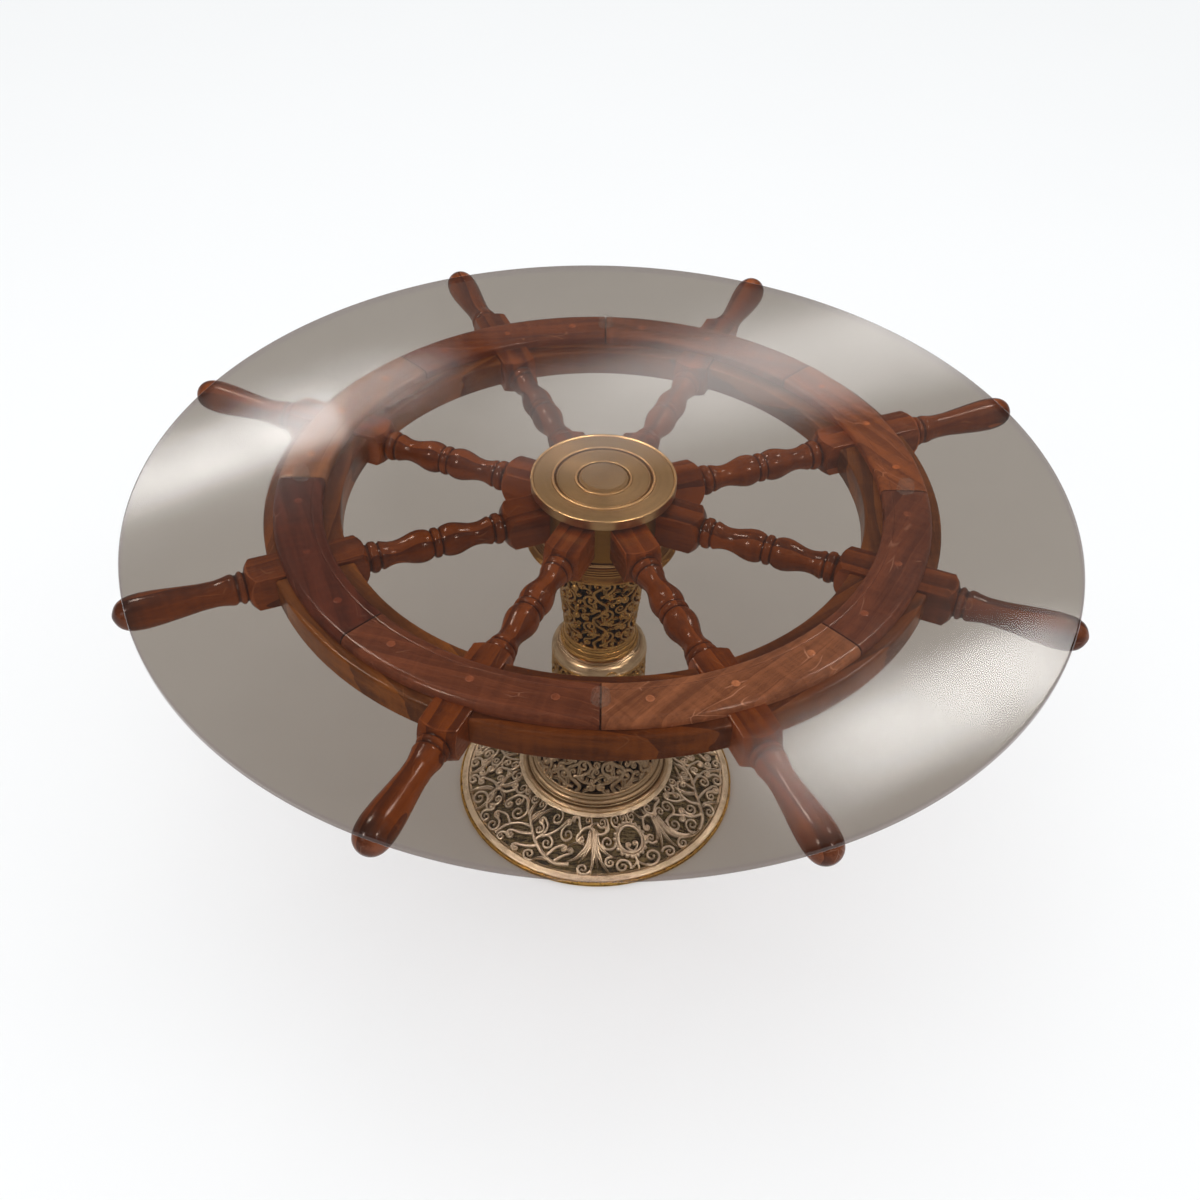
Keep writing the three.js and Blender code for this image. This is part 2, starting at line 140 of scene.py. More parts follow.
def spline(points, spacing):
    """Evenly dense points on a smooth open curve through the given points, in any dimension."""
    knots = np.array(points, float)
    knots = np.vstack([2 * knots[0] - knots[1], knots, 2 * knots[-1] - knots[-2]])
    out = []
    for i in range(1, len(knots) - 2):
        a, b, c, d = knots[i - 1:i + 3]
        pieces = max(2, int(np.linalg.norm(c - b) / spacing))
        for t in np.arange(pieces) / pieces:
            out.append(0.5 * (2 * b + (c - a) * t + (2 * a - 5 * b + 4 * c - d) * t**2
                              + (3 * b - a - 3 * c + d) * t**3))
    out.append(knots[-2])
    return np.array(out)


def rotation(angle):
    c, s = math.cos(angle), math.sin(angle)
    return np.array([[c, -s, 0], [s, c, 0], [0, 0, 1]])


def unit(angle):
    """Unit vectors (x, y) at an angle or an array of angles."""
    return np.stack([np.cos(angle), np.sin(angle)], axis=-1)


def around(radius, angle, height):
    """Points at a radius, an angle about Z and a height. Each may be a number or an array."""
    radius, angle, height = np.broadcast_arrays(radius, angle, height)
    return np.stack([radius * np.cos(angle), radius * np.sin(angle), height], axis=-1)


def full_turn(count):
    """Even angles round a circle."""
    return np.arange(count) * TAU / count


class Piece:
    """Gathers the surfaces of one piece, in millimetres, with the values its material reads."""

    def __init__(self):
        self.points = []
        self.faces = []
        self.tint = []
        self.grain = []
        self.slots = []
        self.count = 0

    def add(self, points, faces, tint=(1, 1, 1), grain=None, slot=0):
        points = np.asarray(points, float).reshape(-1, 3)
        grain = points if grain is None else np.asarray(grain, float).reshape(-1, 3)
        tint = np.broadcast_to(np.asarray(tint, float), (len(points), 3))
        self.points.append(points)
        self.grain.append(grain)
        self.tint.append(tint)
        self.faces.extend(tuple(corner + self.count for corner in face) for face in faces)
        self.slots.extend([slot] * len(faces))
        self.count += len(points)
        return self

    def grid(self, grid, wrap_rows=False, **values):
        """A surface from a grid of points: rows of closed rings. The last row joins the first, or
        each of the two gets a face across it."""
        grid = np.asarray(grid, float)
        rows, columns = grid.shape[:2]
        faces = []
        for i in range(rows if wrap_rows else rows - 1):
            for j in range(columns):
                k, m = (i + 1) % rows, (j + 1) % columns
                faces.append((i * columns + j, i * columns + m, k * columns + m, k * columns + j))
        if not wrap_rows:
            faces.append(tuple(range(columns))[::-1])
            faces.append(tuple((rows - 1) * columns + j for j in range(columns)))
        return self.add(grid.reshape(-1, 3), faces, **values)

    def lathe(self, outline, sides, tint=(1, 1, 1), support=True, **values):
        """A closed outline of (radius, height) points, turned about Z. It runs anticlockwise.
        The tint may be a function of the radius and height."""
        r, z = np.array(supported(outline) if support else outline, float).T
        if callable(tint):
            tint = np.array([tint(radius, height) for radius, height in zip(r, z)] * sides)
        grid = around(r, full_turn(sides)[:, None], z)
        return self.grid(grid, wrap_rows=True, tint=tint, **values)

    def make(self, name, body, slot, materials, replaced, sharp=38, place=None):
        """The Blender object, riding on a body and standing for the named nodes. Edges that bend by
        more than `sharp` degrees stay sharp. `place` is a rotation and a shift."""
        points = np.concatenate(self.points)
        if place is not None:
            points = points @ place[0].T + np.asarray(place[1], float)
        points = points + (0, AXIS_Y, 0)
        mesh = bpy.data.meshes.new(name)
        mesh.from_pydata((points * MM).tolist(), [], self.faces)
        mesh.polygons.foreach_set("material_index", self.slots)
        layer = mesh.attributes.new("tint", "FLOAT_COLOR", "POINT")
        tint = np.concatenate([np.concatenate(self.tint), np.ones((self.count, 1))], axis=1)
        layer.data.foreach_set("color", tint.astype(np.float32).ravel())
        layer = mesh.attributes.new("grain", "FLOAT_VECTOR", "POINT")
        layer.data.foreach_set("vector", (np.concatenate(self.grain) * MM).astype(np.float32).ravel())
        shape = bmesh.new()
        shape.from_mesh(mesh)
        bmesh.ops.remove_doubles(shape, verts=shape.verts, dist=0.002 * MM)
        bmesh.ops.recalc_face_normals(shape, faces=shape.faces)
        shape.to_mesh(mesh)
        shape.free()
        mesh.shade_smooth()
        mesh.set_sharp_from_angle(angle=math.radians(sharp))
        store_edges(mesh)
        for material in materials:
            mesh.materials.append(material)
        piece = bpy.data.objects.new(name, mesh)
        bpy.context.scene.collection.objects.link(piece)
        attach(piece, body)
        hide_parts(*replaced)
        return piece


# An arris or hollow of half this radius or less counts in full.
FULL_BEND = 3.0


def store_edges(mesh):
    """Stores how convex the surface is at each point, from -1 in a tight hollow to 1 on an arris."""
    count = len(mesh.vertices)
    place = np.zeros(count * 3)
    mesh.vertices.foreach_get("co", place)
    place = place.reshape(-1, 3) / MM
    normal = np.zeros(count * 3)
    mesh.vertices.foreach_get("normal", normal)
    normal = normal.reshape(-1, 3)
    edges = np.zeros(len(mesh.edges) * 2, int)
    mesh.edges.foreach_get("vertices", edges)
    a, b = edges.reshape(-1, 2).T
    along = place[a] - place[b]
    squared = np.maximum((along**2).sum(1), 1e-3)
    total = np.zeros(count)
    number = np.zeros(count)
    np.add.at(total, a, (normal[a] * along).sum(1) / squared)
    np.add.at(total, b, -(normal[b] * along).sum(1) / squared)
    np.add.at(number, a, 1)
    np.add.at(number, b, 1)
    convex = np.clip(total / np.maximum(number, 1) * FULL_BEND, -1, 1)
    layer = mesh.attributes.new("edge", "FLOAT", "POINT")
    layer.data.foreach_set("value", convex.astype(np.float32))


# ---------------------------------------------------------------- material building blocks

class Nodes:
    """A short way to write the nodes of a material or a world."""

    def __init__(self, name, kind="Material"):
        owners = bpy.data.worlds if kind == "World" else bpy.data.materials
        self.owner = owners.new(name)
        self.owner.use_nodes = True
        self.tree = self.owner.node_tree
        self.tree.nodes.clear()
        self.output = self.node("Output" + kind)

    def node(self, kind, settings=None, **inputs):
        made = self.tree.nodes.new("ShaderNode" + kind)
        for key, value in (settings or {}).items():
            setattr(made, key, value)
        for key, value in inputs.items():
            self.feed(made.inputs[key.replace("_", " ")], value)
        return made

    def feed(self, socket, value):
        if isinstance(value, bpy.types.NodeSocket):
            self.tree.links.new(value, socket)
        else:
            socket.default_value = value

    def attribute(self, name, output):
        return self.node("Attribute", {"attribute_name": name}).outputs[output]

    def stored(self):
        """What every piece stores at its points: grain coordinates, tint and how convex it is."""
        named = (("grain", "Vector"), ("tint", "Color"), ("edge", "Fac"))
        return [self.attribute(name, output) for name, output in named]

    def pair(self, kind, settings, a, b):
        made = self.node(kind, settings)
        self.feed(made.inputs[0], a)
        self.feed(made.inputs[1], b)
        return made.outputs[0]

    def math(self, operation, a, b, clamp=False):
        return self.pair("Math", {"operation": operation, "use_clamp": clamp}, a, b)

    def add(self, a, b, clamp=False):
        return self.math("ADD", a, b, clamp)

    def less(self, a, b, clamp=False):
        return self.math("SUBTRACT", a, b, clamp)

    def times(self, a, b, clamp=False):
        return self.math("MULTIPLY", a, b, clamp)

    def moved(self, vector, shift):
        return self.pair("VectorMath", {"operation": "ADD"}, vector, shift)

    def scaled(self, vector, scale):
        return self.pair("VectorMath", {"operation": "MULTIPLY"}, vector, scale)

    def join(self, x, y, z):
        return self.node("CombineXYZ", X=x, Y=y, Z=z).outputs[0]

    def noise(self, vector, scale=1.0, detail=2.0, roughness=0.5, distortion=0.0):
        made = self.node("TexNoise", Vector=vector, Scale=scale, Detail=detail,
                         Roughness=roughness, Distortion=distortion)
        return made.outputs["Fac"]

    def band(self, value, low, high, to_low=0.0, to_high=1.0):
        """The value stretched from low..high to to_low..to_high, with soft ends."""
        made = self.node("MapRange", {"interpolation_type": "SMOOTHSTEP"}, Value=value)
        for key, number in zip(("From Min", "From Max", "To Min", "To Max"),
                               (low, high, to_low, to_high)):
            made.inputs[key].default_value = number
        return made.outputs[0]

    def mix(self, factor, a, b, blend="MIX"):
        """Colours mixed. A Mix node takes its colours at inputs 6 and 7, and gives one at output 2."""
        made = self.node("Mix", {"data_type": "RGBA", "blend_type": blend})
        self.feed(made.inputs[0], factor)
        for socket, value in ((made.inputs[6], a), (made.inputs[7], b)):
            self.feed(socket, (*value, 1) if isinstance(value, tuple) else value)
        return made.outputs[2]

    def tinted(self, a, b):
        return self.mix(1.0, a, b, "MULTIPLY")

    def bump(self, height, distance, strength=1.0, normal=None):
        made = self.node("Bump", Height=height, Distance=distance, Strength=strength)
        if normal is not None:
            self.feed(made.inputs["Normal"], normal)
        return made.outputs[0]

    def finish(self, shader):
        self.tree.links.new(shader, self.output.inputs["Surface"])
        return self.owner

    def principled(self, **inputs):
        return self.finish(self.node("BsdfPrincipled", **inputs).outputs[0])


def wood_material(name, figure, contrast, scratches, gloss, growth=0.26):
    """Varnished hardwood. The piece's own grain runs along X of its grain coordinates."""
    n = Nodes(name)
    grain, tint, edge = n.stored()

    # Figure: wandering growth rings, streaks and fibres, with open pores and a little cross curl.
    drift = n.noise(n.scaled(grain, (5.0, 9.0, 9.0)), detail=3.0)
    wander = n.moved(grain, n.scaled(n.join(0.0, drift, drift), (0.0, 0.022, 0.016)))
    streaks = n.noise(n.scaled(wander, (4.0, 62.0, 62.0)), detail=4.0, roughness=0.6)
    rings = n.node("TexWave", {"bands_direction": "Y", "wave_profile": "SAW"},
                   Vector=n.scaled(wander, (0.5, 15.0, 9.0)), Scale=1.0, Distortion=5.0, Detail=3.0,
                   Detail_Scale=1.4, Detail_Roughness=0.6).outputs["Fac"]
    fibres = n.noise(n.scaled(wander, (22.0, 760.0, 760.0)), detail=3.0, roughness=0.65)
    pores = n.band(n.noise(n.scaled(wander, (90.0, 1500.0, 1500.0)), detail=1.0), 0.62, 0.72)
    curl = n.noise(n.scaled(grain, (150.0, 16.0, 16.0)), detail=2.0, distortion=0.6)

    tone = n.add(n.times(streaks, 0.62), n.times(rings, growth))
    tone = n.add(tone, n.times(fibres, 0.22))
    tone = n.add(tone, n.times(n.less(curl, 0.5), figure))
    tone = n.band(tone, 0.26 + 0.3 * growth, 0.63 + 0.58 * growth)
    dark = tuple(1 - share * contrast for share in (0.58, 0.64, 0.66))
    light = tuple(1 + share * contrast for share in (0.42, 0.46, 0.42))
    colour = n.tinted(tint, n.mix(tone, dark, light))
    colour = n.mix(n.times(pores, 0.5), colour, n.tinted(colour, (0.3, 0.26, 0.25)))

    # Wear on the arrises, lightened further as a painted highlight, and painted shade darkening the
    # hollows.
    patches = n.noise(n.scaled(grain, (17.0, 23.0, 23.0)), detail=4.0)
    # The arrises are paler: partly wear, partly a painted highlight.
    wear_and_arris_highlight = n.times(n.band(edge, 0.12, 0.85), n.band(patches, 0.36, 0.62), clamp=True)
    pale = n.mix(1.0, n.tinted(tint, (1.75, 1.75, 1.7)), (0.05, 0.035, 0.03), "ADD")
    colour = n.mix(n.times(wear_and_arris_highlight, 0.75), colour, pale)
    # Painted shade: the hollows are darkened.
    hollow_shade = n.band(edge, -0.02, -0.28)
    colour = n.mix(n.times(hollow_shade, 0.75), colour, n.tinted(colour, (0.22, 0.17, 0.15)))

    # Pale crackle in patches of the varnish.
    bent = n.moved(grain, n.scaled(n.join(patches, drift, drift), (0.03, 0.04, 0.04)))
    cells = n.node("TexVoronoi", {"feature": "DISTANCE_TO_EDGE"}, Scale=1.0,
                   Vector=n.scaled(bent, (14.0, 62.0, 62.0))).outputs["Distance"]
    where = n.band(n.noise(n.scaled(grain, (20.0, 46.0, 46.0)), detail=1.0), 0.55, 0.66)
    marks = n.times(n.times(n.band(cells, 0.022, 0.006), where), scratches)
    bared = n.mix(1.0, n.tinted(tint, (1.5, 1.7, 2.0)), (0.13, 0.10, 0.075), "ADD")
    colour = n.mix(marks, colour, bared)

    # Gloss and relief.
    rough = n.band(n.noise(n.scaled(grain, (30.0, 60.0, 60.0)), detail=4.0), 0.3, 0.75,
                   gloss - 0.06, gloss + 0.16)
    rough = n.add(rough, n.times(wear_and_arris_highlight, 0.18))
    height = n.less(n.times(fibres, 0.4), n.times(pores, 0.7))
    height = n.less(height, n.times(marks, 1.2))
    normal = n.bump(patches, 0.0012, 0.25, n.bump(height, 0.00016, 0.5))
    return n.principled(Base_Color=colour, Roughness=rough, Normal=normal, IOR=1.1, Coat_Weight=0.3,
                        Coat_Roughness=0.15)


def brass_material(name, bright, dark, rough=0.3, cast=0.0, spun=0.0, tarnish=0.5, blotch=60.0,
                   streak=0.0):
    """Brass with arrises lightened, partly by wear and partly as a painted highlight, tarnish in the
    hollows, and a cast or lathe-turned skin. `blotch` is how fine its stains are, and `streak` how far its
    highlights are drawn out."""
    n = Nodes(name)
    place, tint, edge = n.stored()
    stain = n.noise(n.scaled(place, (blotch, blotch, blotch)), detail=5.0, roughness=0.62)
    specks = n.noise(n.scaled(place, (700.0, 700.0, 700.0)), detail=3.0, roughness=0.6)
    tarnish_and_arris_light = n.times(n.band(stain, 0.35, 0.72), tarnish)
    tarnish_and_arris_light = n.math("MAXIMUM", tarnish_and_arris_light, n.times(n.band(edge, 0.05, -0.28), 0.9))
    # Arrises are lightened: partly wear, partly a painted highlight.
    tarnish_and_arris_light = n.less(tarnish_and_arris_light, n.times(n.band(edge, 0.1, 0.75), 0.55), clamp=True)
    tarnish_and_arris_light = n.add(tarnish_and_arris_light, n.times(n.band(specks, 0.6, 0.78), 0.22), clamp=True)
    colour = n.tinted(n.mix(tarnish_and_arris_light, bright, dark), tint)
    gloss = n.add(n.times(tarnish_and_arris_light, 0.3), rough)
    gloss = n.add(gloss, n.times(n.less(specks, 0.5), 0.18))
    height = n.add(n.times(specks, 0.12 + cast), n.times(stain, 0.3 * cast))
    if spun > 0:
        # Fine rings that a lathe leaves, about Z.
        x, y, z = n.node("SeparateXYZ", Vector=place).outputs
        radius = n.node("VectorMath", {"operation": "LENGTH"}, Vector=n.join(x, y, 0.0)).outputs["Value"]
        across = n.join(radius, z, 0.0)
        rings = n.noise(across, scale=1600.0, detail=3.0, roughness=0.7)
        broad = n.noise(across, scale=260.0, detail=2.0)
        height = n.add(height, n.times(rings, spun))
        colour = n.mix(n.band(broad, 0.4, 0.7, 0.0, 0.35), colour, n.tinted(colour, (0.72, 0.7, 0.66)))
        gloss = n.add(gloss, n.times(n.less(rings, 0.5), 0.25))
    return n.principled(Base_Color=colour, Roughness=gloss, Normal=n.bump(height, 0.0003, 0.55),
                        Metallic=1.0, Anisotropic=streak)


def glass_material(name, tint, mirrored):
    """Smoked glass: a see-through tint with a faint mirror over it."""
    n = Nodes(name)
    smudge = n.noise(n.scaled(n.attribute("grain", "Vector"), (6.0, 9.0, 9.0)), detail=5.0)
    seen = n.mix(n.band(smudge, 0.3, 0.8), tint, tuple(0.975 * value for value in tint))
    through = n.node("BsdfTransparent", Color=seen)
    mirror = n.node("BsdfGlossy", Color=(1, 1, 1, 1), Roughness=n.band(smudge, 0.3, 0.8, 0.07, 0.12))
    facing = n.node("LayerWeight", Blend=0.5).outputs["Facing"]
    both = n.node("MixShader", Fac=n.add(n.times(n.math("POWER", facing, 4.0), 0.7), mirrored))
    n.feed(both.inputs[1], through.outputs[0])
    n.feed(both.inputs[2], mirror.outputs[0])
    return n.finish(both.outputs[0])


def rubber_material():
    n = Nodes("clear_rubber")
    haze = n.noise(n.scaled(n.attribute("grain", "Vector"), (300.0, 300.0, 300.0)), detail=3.0)
    return n.principled(Base_Color=n.mix(haze, (0.62, 0.6, 0.56), (0.8, 0.78, 0.74)), Alpha=0.07,
                        Roughness=n.band(haze, 0.3, 0.7, 0.15, 0.4), Normal=n.bump(haze, 0.0001))


def cloth_material():
    """Coarse dark cloth whose heavier threads run one way, with slubs and worn patches."""
    n = Nodes("woven_liner")
    place = n.attribute("grain", "Vector")
    wobble = n.noise(n.scaled(place, (38.0, 38.0, 38.0)), detail=3.0)
    moved = n.moved(place, n.scaled(n.join(wobble, wobble, 0.0), (0.010, 0.010, 0.0)))
    weft = n.noise(n.scaled(moved, (75.0, 520.0, 60.0)), detail=3.0, roughness=0.6)
    warp = n.noise(n.scaled(moved, (620.0, 90.0, 60.0)), detail=2.0)
    patches = n.noise(n.scaled(place, (26.0, 34.0, 30.0)), detail=3.0)
    tone = n.add(n.add(n.times(weft, 0.68), n.times(warp, 0.22)), n.times(patches, 0.35))
    colour = n.mix(n.band(tone, 0.5, 0.8), linear(56, 46, 26), linear(172, 152, 108))
    return n.principled(Base_Color=colour, Roughness=n.band(patches, 0.2, 0.8, 0.7, 0.95),
                        Normal=n.bump(tone, 0.0016, 0.9))


def steel_material():
    n = Nodes("steel")
    place = n.attribute("grain", "Vector")
    turned = n.noise(n.scaled(place, (40.0, 40.0, 900.0)), detail=4.0)
    spots = n.noise(n.scaled(place, (90.0, 90.0, 90.0)), detail=5.0)
    colour = n.mix(n.band(spots, 0.45, 0.75), (0.42, 0.42, 0.43), (0.17, 0.14, 0.12))
    return n.principled(Base_Color=colour, Roughness=n.band(turned, 0.3, 0.7, 0.28, 0.5),
                        Normal=n.bump(turned, 0.0001), Metallic=1.0)


SPOKE_WOOD = wood_material("spoke_mahogany", figure=0.18, contrast=0.92, scratches=0.35, gloss=0.24)
FACING_WOOD = wood_material("facing_mahogany", figure=0.24, contrast=0.72, scratches=0.9, gloss=0.27,
                            growth=0.12)
FELLOE_WOOD = wood_material("felloe_teak", figure=0.2, contrast=0.9, scratches=0.3, gloss=0.33)
HUB_BRASS = brass_material("hub_brass", linear(222, 184, 134), linear(150, 112, 70), rough=0.3,
                           spun=0.5, tarnish=0.4, blotch=14.0, streak=0.6)
ANTIQUE_BRASS = brass_material("antique_brass", linear(206, 160, 94), linear(62, 43, 19), rough=0.28,
                               cast=0.5, tarnish=0.6)
SILVERED_BRASS = brass_material("silvered_brass", linear(212, 186, 152), linear(98, 74, 46),
                                rough=0.3, cast=0.12, tarnish=0.45)
CAST_SILVER = brass_material("silvered_casting", linear(250, 230, 202), linear(116, 96, 70),
                             rough=0.4, cast=0.6, tarnish=0.5)
MOTTLED_BRASS = brass_material("mottled_foot", linear(206, 162, 88), linear(70, 50, 20), rough=0.42,
                               cast=2.6, tarnish=1.0, blotch=210.0)
# A dark sheet behind the openwork: painted shade for the hollow inside the castings.
SHADE_SLEEVE_BRASS = brass_material("shade_sleeve_brass", linear(50, 31, 16), linear(22, 13, 7), rough=0.6,
                             cast=0.6, tarnish=0.9)
BRONZE = brass_material("bronze", linear(190, 132, 74), linear(96, 64, 34), rough=0.34, spun=0.3)
GLASS = glass_material("smoked_glass", (0.572, 0.537, 0.499), 0.005)
GLASS_EDGE = glass_material("smoked_glass_edge", (0.54, 0.50, 0.49), 0.006)
RUBBER = rubber_material()
CLOTH = cloth_material()
STEEL = steel_material()


# ---------------------------------------------------------------- wooden spokes

# Places along a spoke, out from the wheel's axis.
BALUSTER_CENTRE = 193.7
BALUSTER_END = 77.6
RIM_BLOCK_END = 396.0
SPOKE_START = 54.3

# Half of the baluster, out from its centre bead: (offset, radius).
HALF_BALUSTER = [
    (0, 16.7), (2.2, 16.4), (3.6, 15.2), (4.4, 14.1), (5.2, 14.0), (6.2, 15.0), (9, 16.5), (13, 17.6),
    (17.5, 18.0), (22, 17.6), (28, 16.2), (34, 14.4), (40, 13.0), (45, 12.5), (50, 12.8), (55, 14.0),
    (58.8, 15.3), (60.4, 15.5), (61.6, 14.5), (62.8, 13.8), (64.0, 14.2), (65.2, 16.0), (66.8, 16.9),
    (69.4, 17.2), (71.8, 16.8), (73.2, 15.6), (74.2, 14.7), (75.6, 14.6), (77.0, 16.6),
]
# Turned end of a square block: (step back from its end, radius).
BLOCK_END = [(0, 19.3), (0.8, 20.7), (2, 22.4), (4, 24.7), (6, 27.0), (8.5, 30)]
# Handle, out from the end of the rim block: (step, radius).
HANDLE = [
    (1.2, 15.8), (2.2, 14.9), (3.0, 15.6), (4.2, 16.9), (6, 17.3), (7.8, 16.8), (9, 15.4), (10.6, 14.4),
    (12, 14.6), (13.2, 15.7), (15, 16.4), (17, 16.4), (20, 15.8), (26, 14.6), (34, 13.8), (44, 13.9),
    (58, 15.0), (74, 16.6), (92, 18.3), (106, 18.9), (116, 18.3), (123, 16.8), (128.3, 14.3),
    (132.3, 10.6), (135.0, 6.0), (136.3, 2.5), (136.7, 0.4),
]
SPOKE_TINT = linear(146, 72, 24)
TIP_SHADE_TINT = linear(96, 52, 32)
# The tips reach out past the glass and are painted darker, a painted shade like the dimming the glass gives
# the rest of the wheel. The darker tip starts here and is full after the fade.
TIP_START = 498
TIP_FADE = 22


def turned_end(end, outwards):
    """Where along the spoke a block's turned end has a given radius. It faces `outwards` (1 or -1)."""
    steps, radii = np.array(smooth_curve(BLOCK_END, 0.4)).T
    return lambda radius: end - outwards * np.interp(radius, radii, steps)


def spoke_rows(square):
    """Rows of (along, reach) for every angle, from the hub to the tip. `square` is the blank's reach
    at each angle, so a row lies just where its flat faces meet the turned parts."""
    least = BLOCK_END[0][1]
    rows = []

    def flat(start, stop):
        for share in (0, 0.25, 0.5, 0.75, 0.97, 1):
            rows.append((start + (stop - start) * share, square))

    def shoulder(end, shares):
        for share in shares:
            reach = least + (square - least) * share
            rows.append((end(reach), reach))

    def turned(outline):
        for x, radius in outline:
            rows.append((np.full_like(square, x), np.full_like(square, radius)))

    falling = np.linspace(0.93, 0, 10)
    hub_block = turned_end(BALUSTER_CENTRE - BALUSTER_END, 1)
    rim_block_start = turned_end(BALUSTER_CENTRE + BALUSTER_END, -1)
    rim_block_end = turned_end(RIM_BLOCK_END, 1)
    baluster = [(BALUSTER_CENTRE - x, r) for x, r in HALF_BALUSTER[:0:-1]]
    baluster += [(BALUSTER_CENTRE + x, r) for x, r in HALF_BALUSTER]
    flat(np.full_like(square, SPOKE_START), hub_block(square))
    shoulder(hub_block, falling)
    turned(smooth_curve(baluster, 1.1))
    shoulder(rim_block_start, falling[::-1])
    flat(rim_block_start(square), rim_block_end(square))
    shoulder(rim_block_end, falling)
    turned(smooth_curve([(RIM_BLOCK_END + x, r) for x, r in HANDLE], 1.1))
    return rows


def spoke_angles():
    """Angles round a spoke, closer together at the blank's four arrises."""
    angles = []
    steps = (1.3, 2.6, 4, 6, 9, 13, 18, 24, 30, 36, 42)
    for corner in range(4):
        middle = math.radians(45 + 90 * corner)
        for degrees in (*(-step for step in reversed(steps)), 0, *steps):
            angles.append(middle + math.radians(degrees))
    return np.array(angles)


def plank_offset(rng):
    """Where in its plank a board was cut, so that no two have the same grain."""
    return np.array([rng.uniform(-500, 500) for _ in range(3)])


def add_spoke(index):
    angles = spoke_angles()
    power = 34
    blank = np.abs(np.cos(angles)) ** power + np.abs(np.sin(angles)) ** power
    square = BLOCK_HALF * blank ** (-1 / power)
    along, reach = (np.array(values) for values in zip(*spoke_rows(square)))
    grid = np.stack([along, reach * np.cos(angles), reach * np.sin(angles)], axis=-1)
    rng = random.Random(index)
    shade = 1 + 0.14 * math.sin(index * 2.4)
    # Past the glass the tip takes on its painted shade.
    blend = np.clip((along - TIP_START) / TIP_FADE, 0, 1)[..., None]
    tint = np.array(SPOKE_TINT) * shade * (1 - blend) + np.array(TIP_SHADE_TINT) * blend
    offset = plank_offset(rng)
    tilt = rotation(math.radians(rng.uniform(-2.5, 2.5)))
    piece = Piece().grid(grid, tint=tint.reshape(-1, 3), grain=grid.reshape(-1, 3) @ tilt.T + offset)
    name = f"spoke_{index + 1}"
    piece.make(name + "_turned", "wheel", "mahogany", [SPOKE_WOOD], [name], sharp=24,
               place=(rotation(FIRST_SPOKE + index * SECTOR), (0, 0, WHEEL_Z)))


# ---------------------------------------------------------------- wooden rim

# One tint for each board of the rim, in order round it.
FACING_TINTS = [
    linear(150, 84, 56), linear(194, 124, 86), linear(144, 80, 54), linear(182, 100, 50),
    linear(160, 96, 68), linear(150, 76, 34), linear(186, 120, 74), linear(118, 56, 36),
]
# How far each facing's grain is turned from its length, in degrees.
FACING_GRAIN_TURN = [6, 24, -8, 14, 5, -12, 10, -4]
FELLOE_TINTS = [
    linear(136, 72, 26), linear(140, 76, 30), linear(142, 80, 30), linear(146, 84, 38),
    linear(140, 76, 30), linear(146, 82, 32), linear(140, 76, 30), linear(152, 88, 34),
]
FACING = {"inner": 306.0, "outer": 358.5, "bottom": 16.3, "top": 28.0}
FELLOE = {"inner": 287.0, "outer": 369.5, "half": 16.0}
# Radius at which a facing's crown is highest. Its plugs stand there.
RIDGE = 331.0
PLUG_RADIUS = 4.4
# Radius of the fine line scored round the facings.
SCORE_RADIUS = 317.0
# Half the open joint between two facings, and the length and depth of the bevel at a facing's ends.
HALF_JOINT = 0.25
BEVEL_LENGTH = 1.1
BEVEL_DEPTH = 0.9


def facing_section():
    """Cross-section of a facing, anticlockwise: slightly crowned, its top corners rounded."""
    inner, outer, bottom, top = (FACING[key] for key in ("inner", "outer", "bottom", "top"))
    corners = filleted([(inner, bottom, 0.5), (outer, bottom, 0.5), (outer, top - 0.5, 7.5),
                        (inner, top - 0.5, 4)], 8)
    low, high = corners[:-9], corners[-9:]
    crown = []
    for radius in np.linspace(outer - 9, inner + 6, 18):
        if abs(radius - SCORE_RADIUS) > 1:
            crown.append((radius, top - 0.5 * ((radius - RIDGE) / 22) ** 2))
    crown += [(SCORE_RADIUS + step, top - depth) for step, depth in ((0.5, 0.22), (0, 0.55), (-0.5, 0.22))]
    crown.sort(key=lambda point: -point[0])
    return supported(low + crown + high)


def swept(section, angles, inset):
    """Rings of a cross-section at the given angles, drawn in a little at both ends. A ring's angle is
    one number, or one for each of its points."""
    section = np.array(section)
    pull = np.sign(section - section.mean(0)) * inset
    rings = []
    for i, angle in enumerate(angles):
        radius, height = (section - pull if i in (0, len(angles) - 1) else section).T
        rings.append(around(radius, angle, height))
    return np.array(rings)


BOARD_STEPS = 34
PLUG_SIDES = 28


def end_spaced(low, high, count, first):
    """Angles from low to high with a narrow first and last step."""
    return [low] + list(np.linspace(low + first, high - first, count)) + [high]


def plug_rings(radius, angle, top):
    """A wooden plug with a slightly domed end, which stands a hair proud of its facing."""
    centre = radius * unit(angle)
    rings = []
    for share, height in ((1.0, -1.5), (1.0, 0.05), (0.9, 0.22), (0.5, 0.3), (0.02, 0.32)):
        flat = centre + share * PLUG_RADIUS * unit(full_turn(PLUG_SIDES))
        rings.append(np.column_stack([flat, np.full(PLUG_SIDES, top + height)]))
    return np.array(rings)


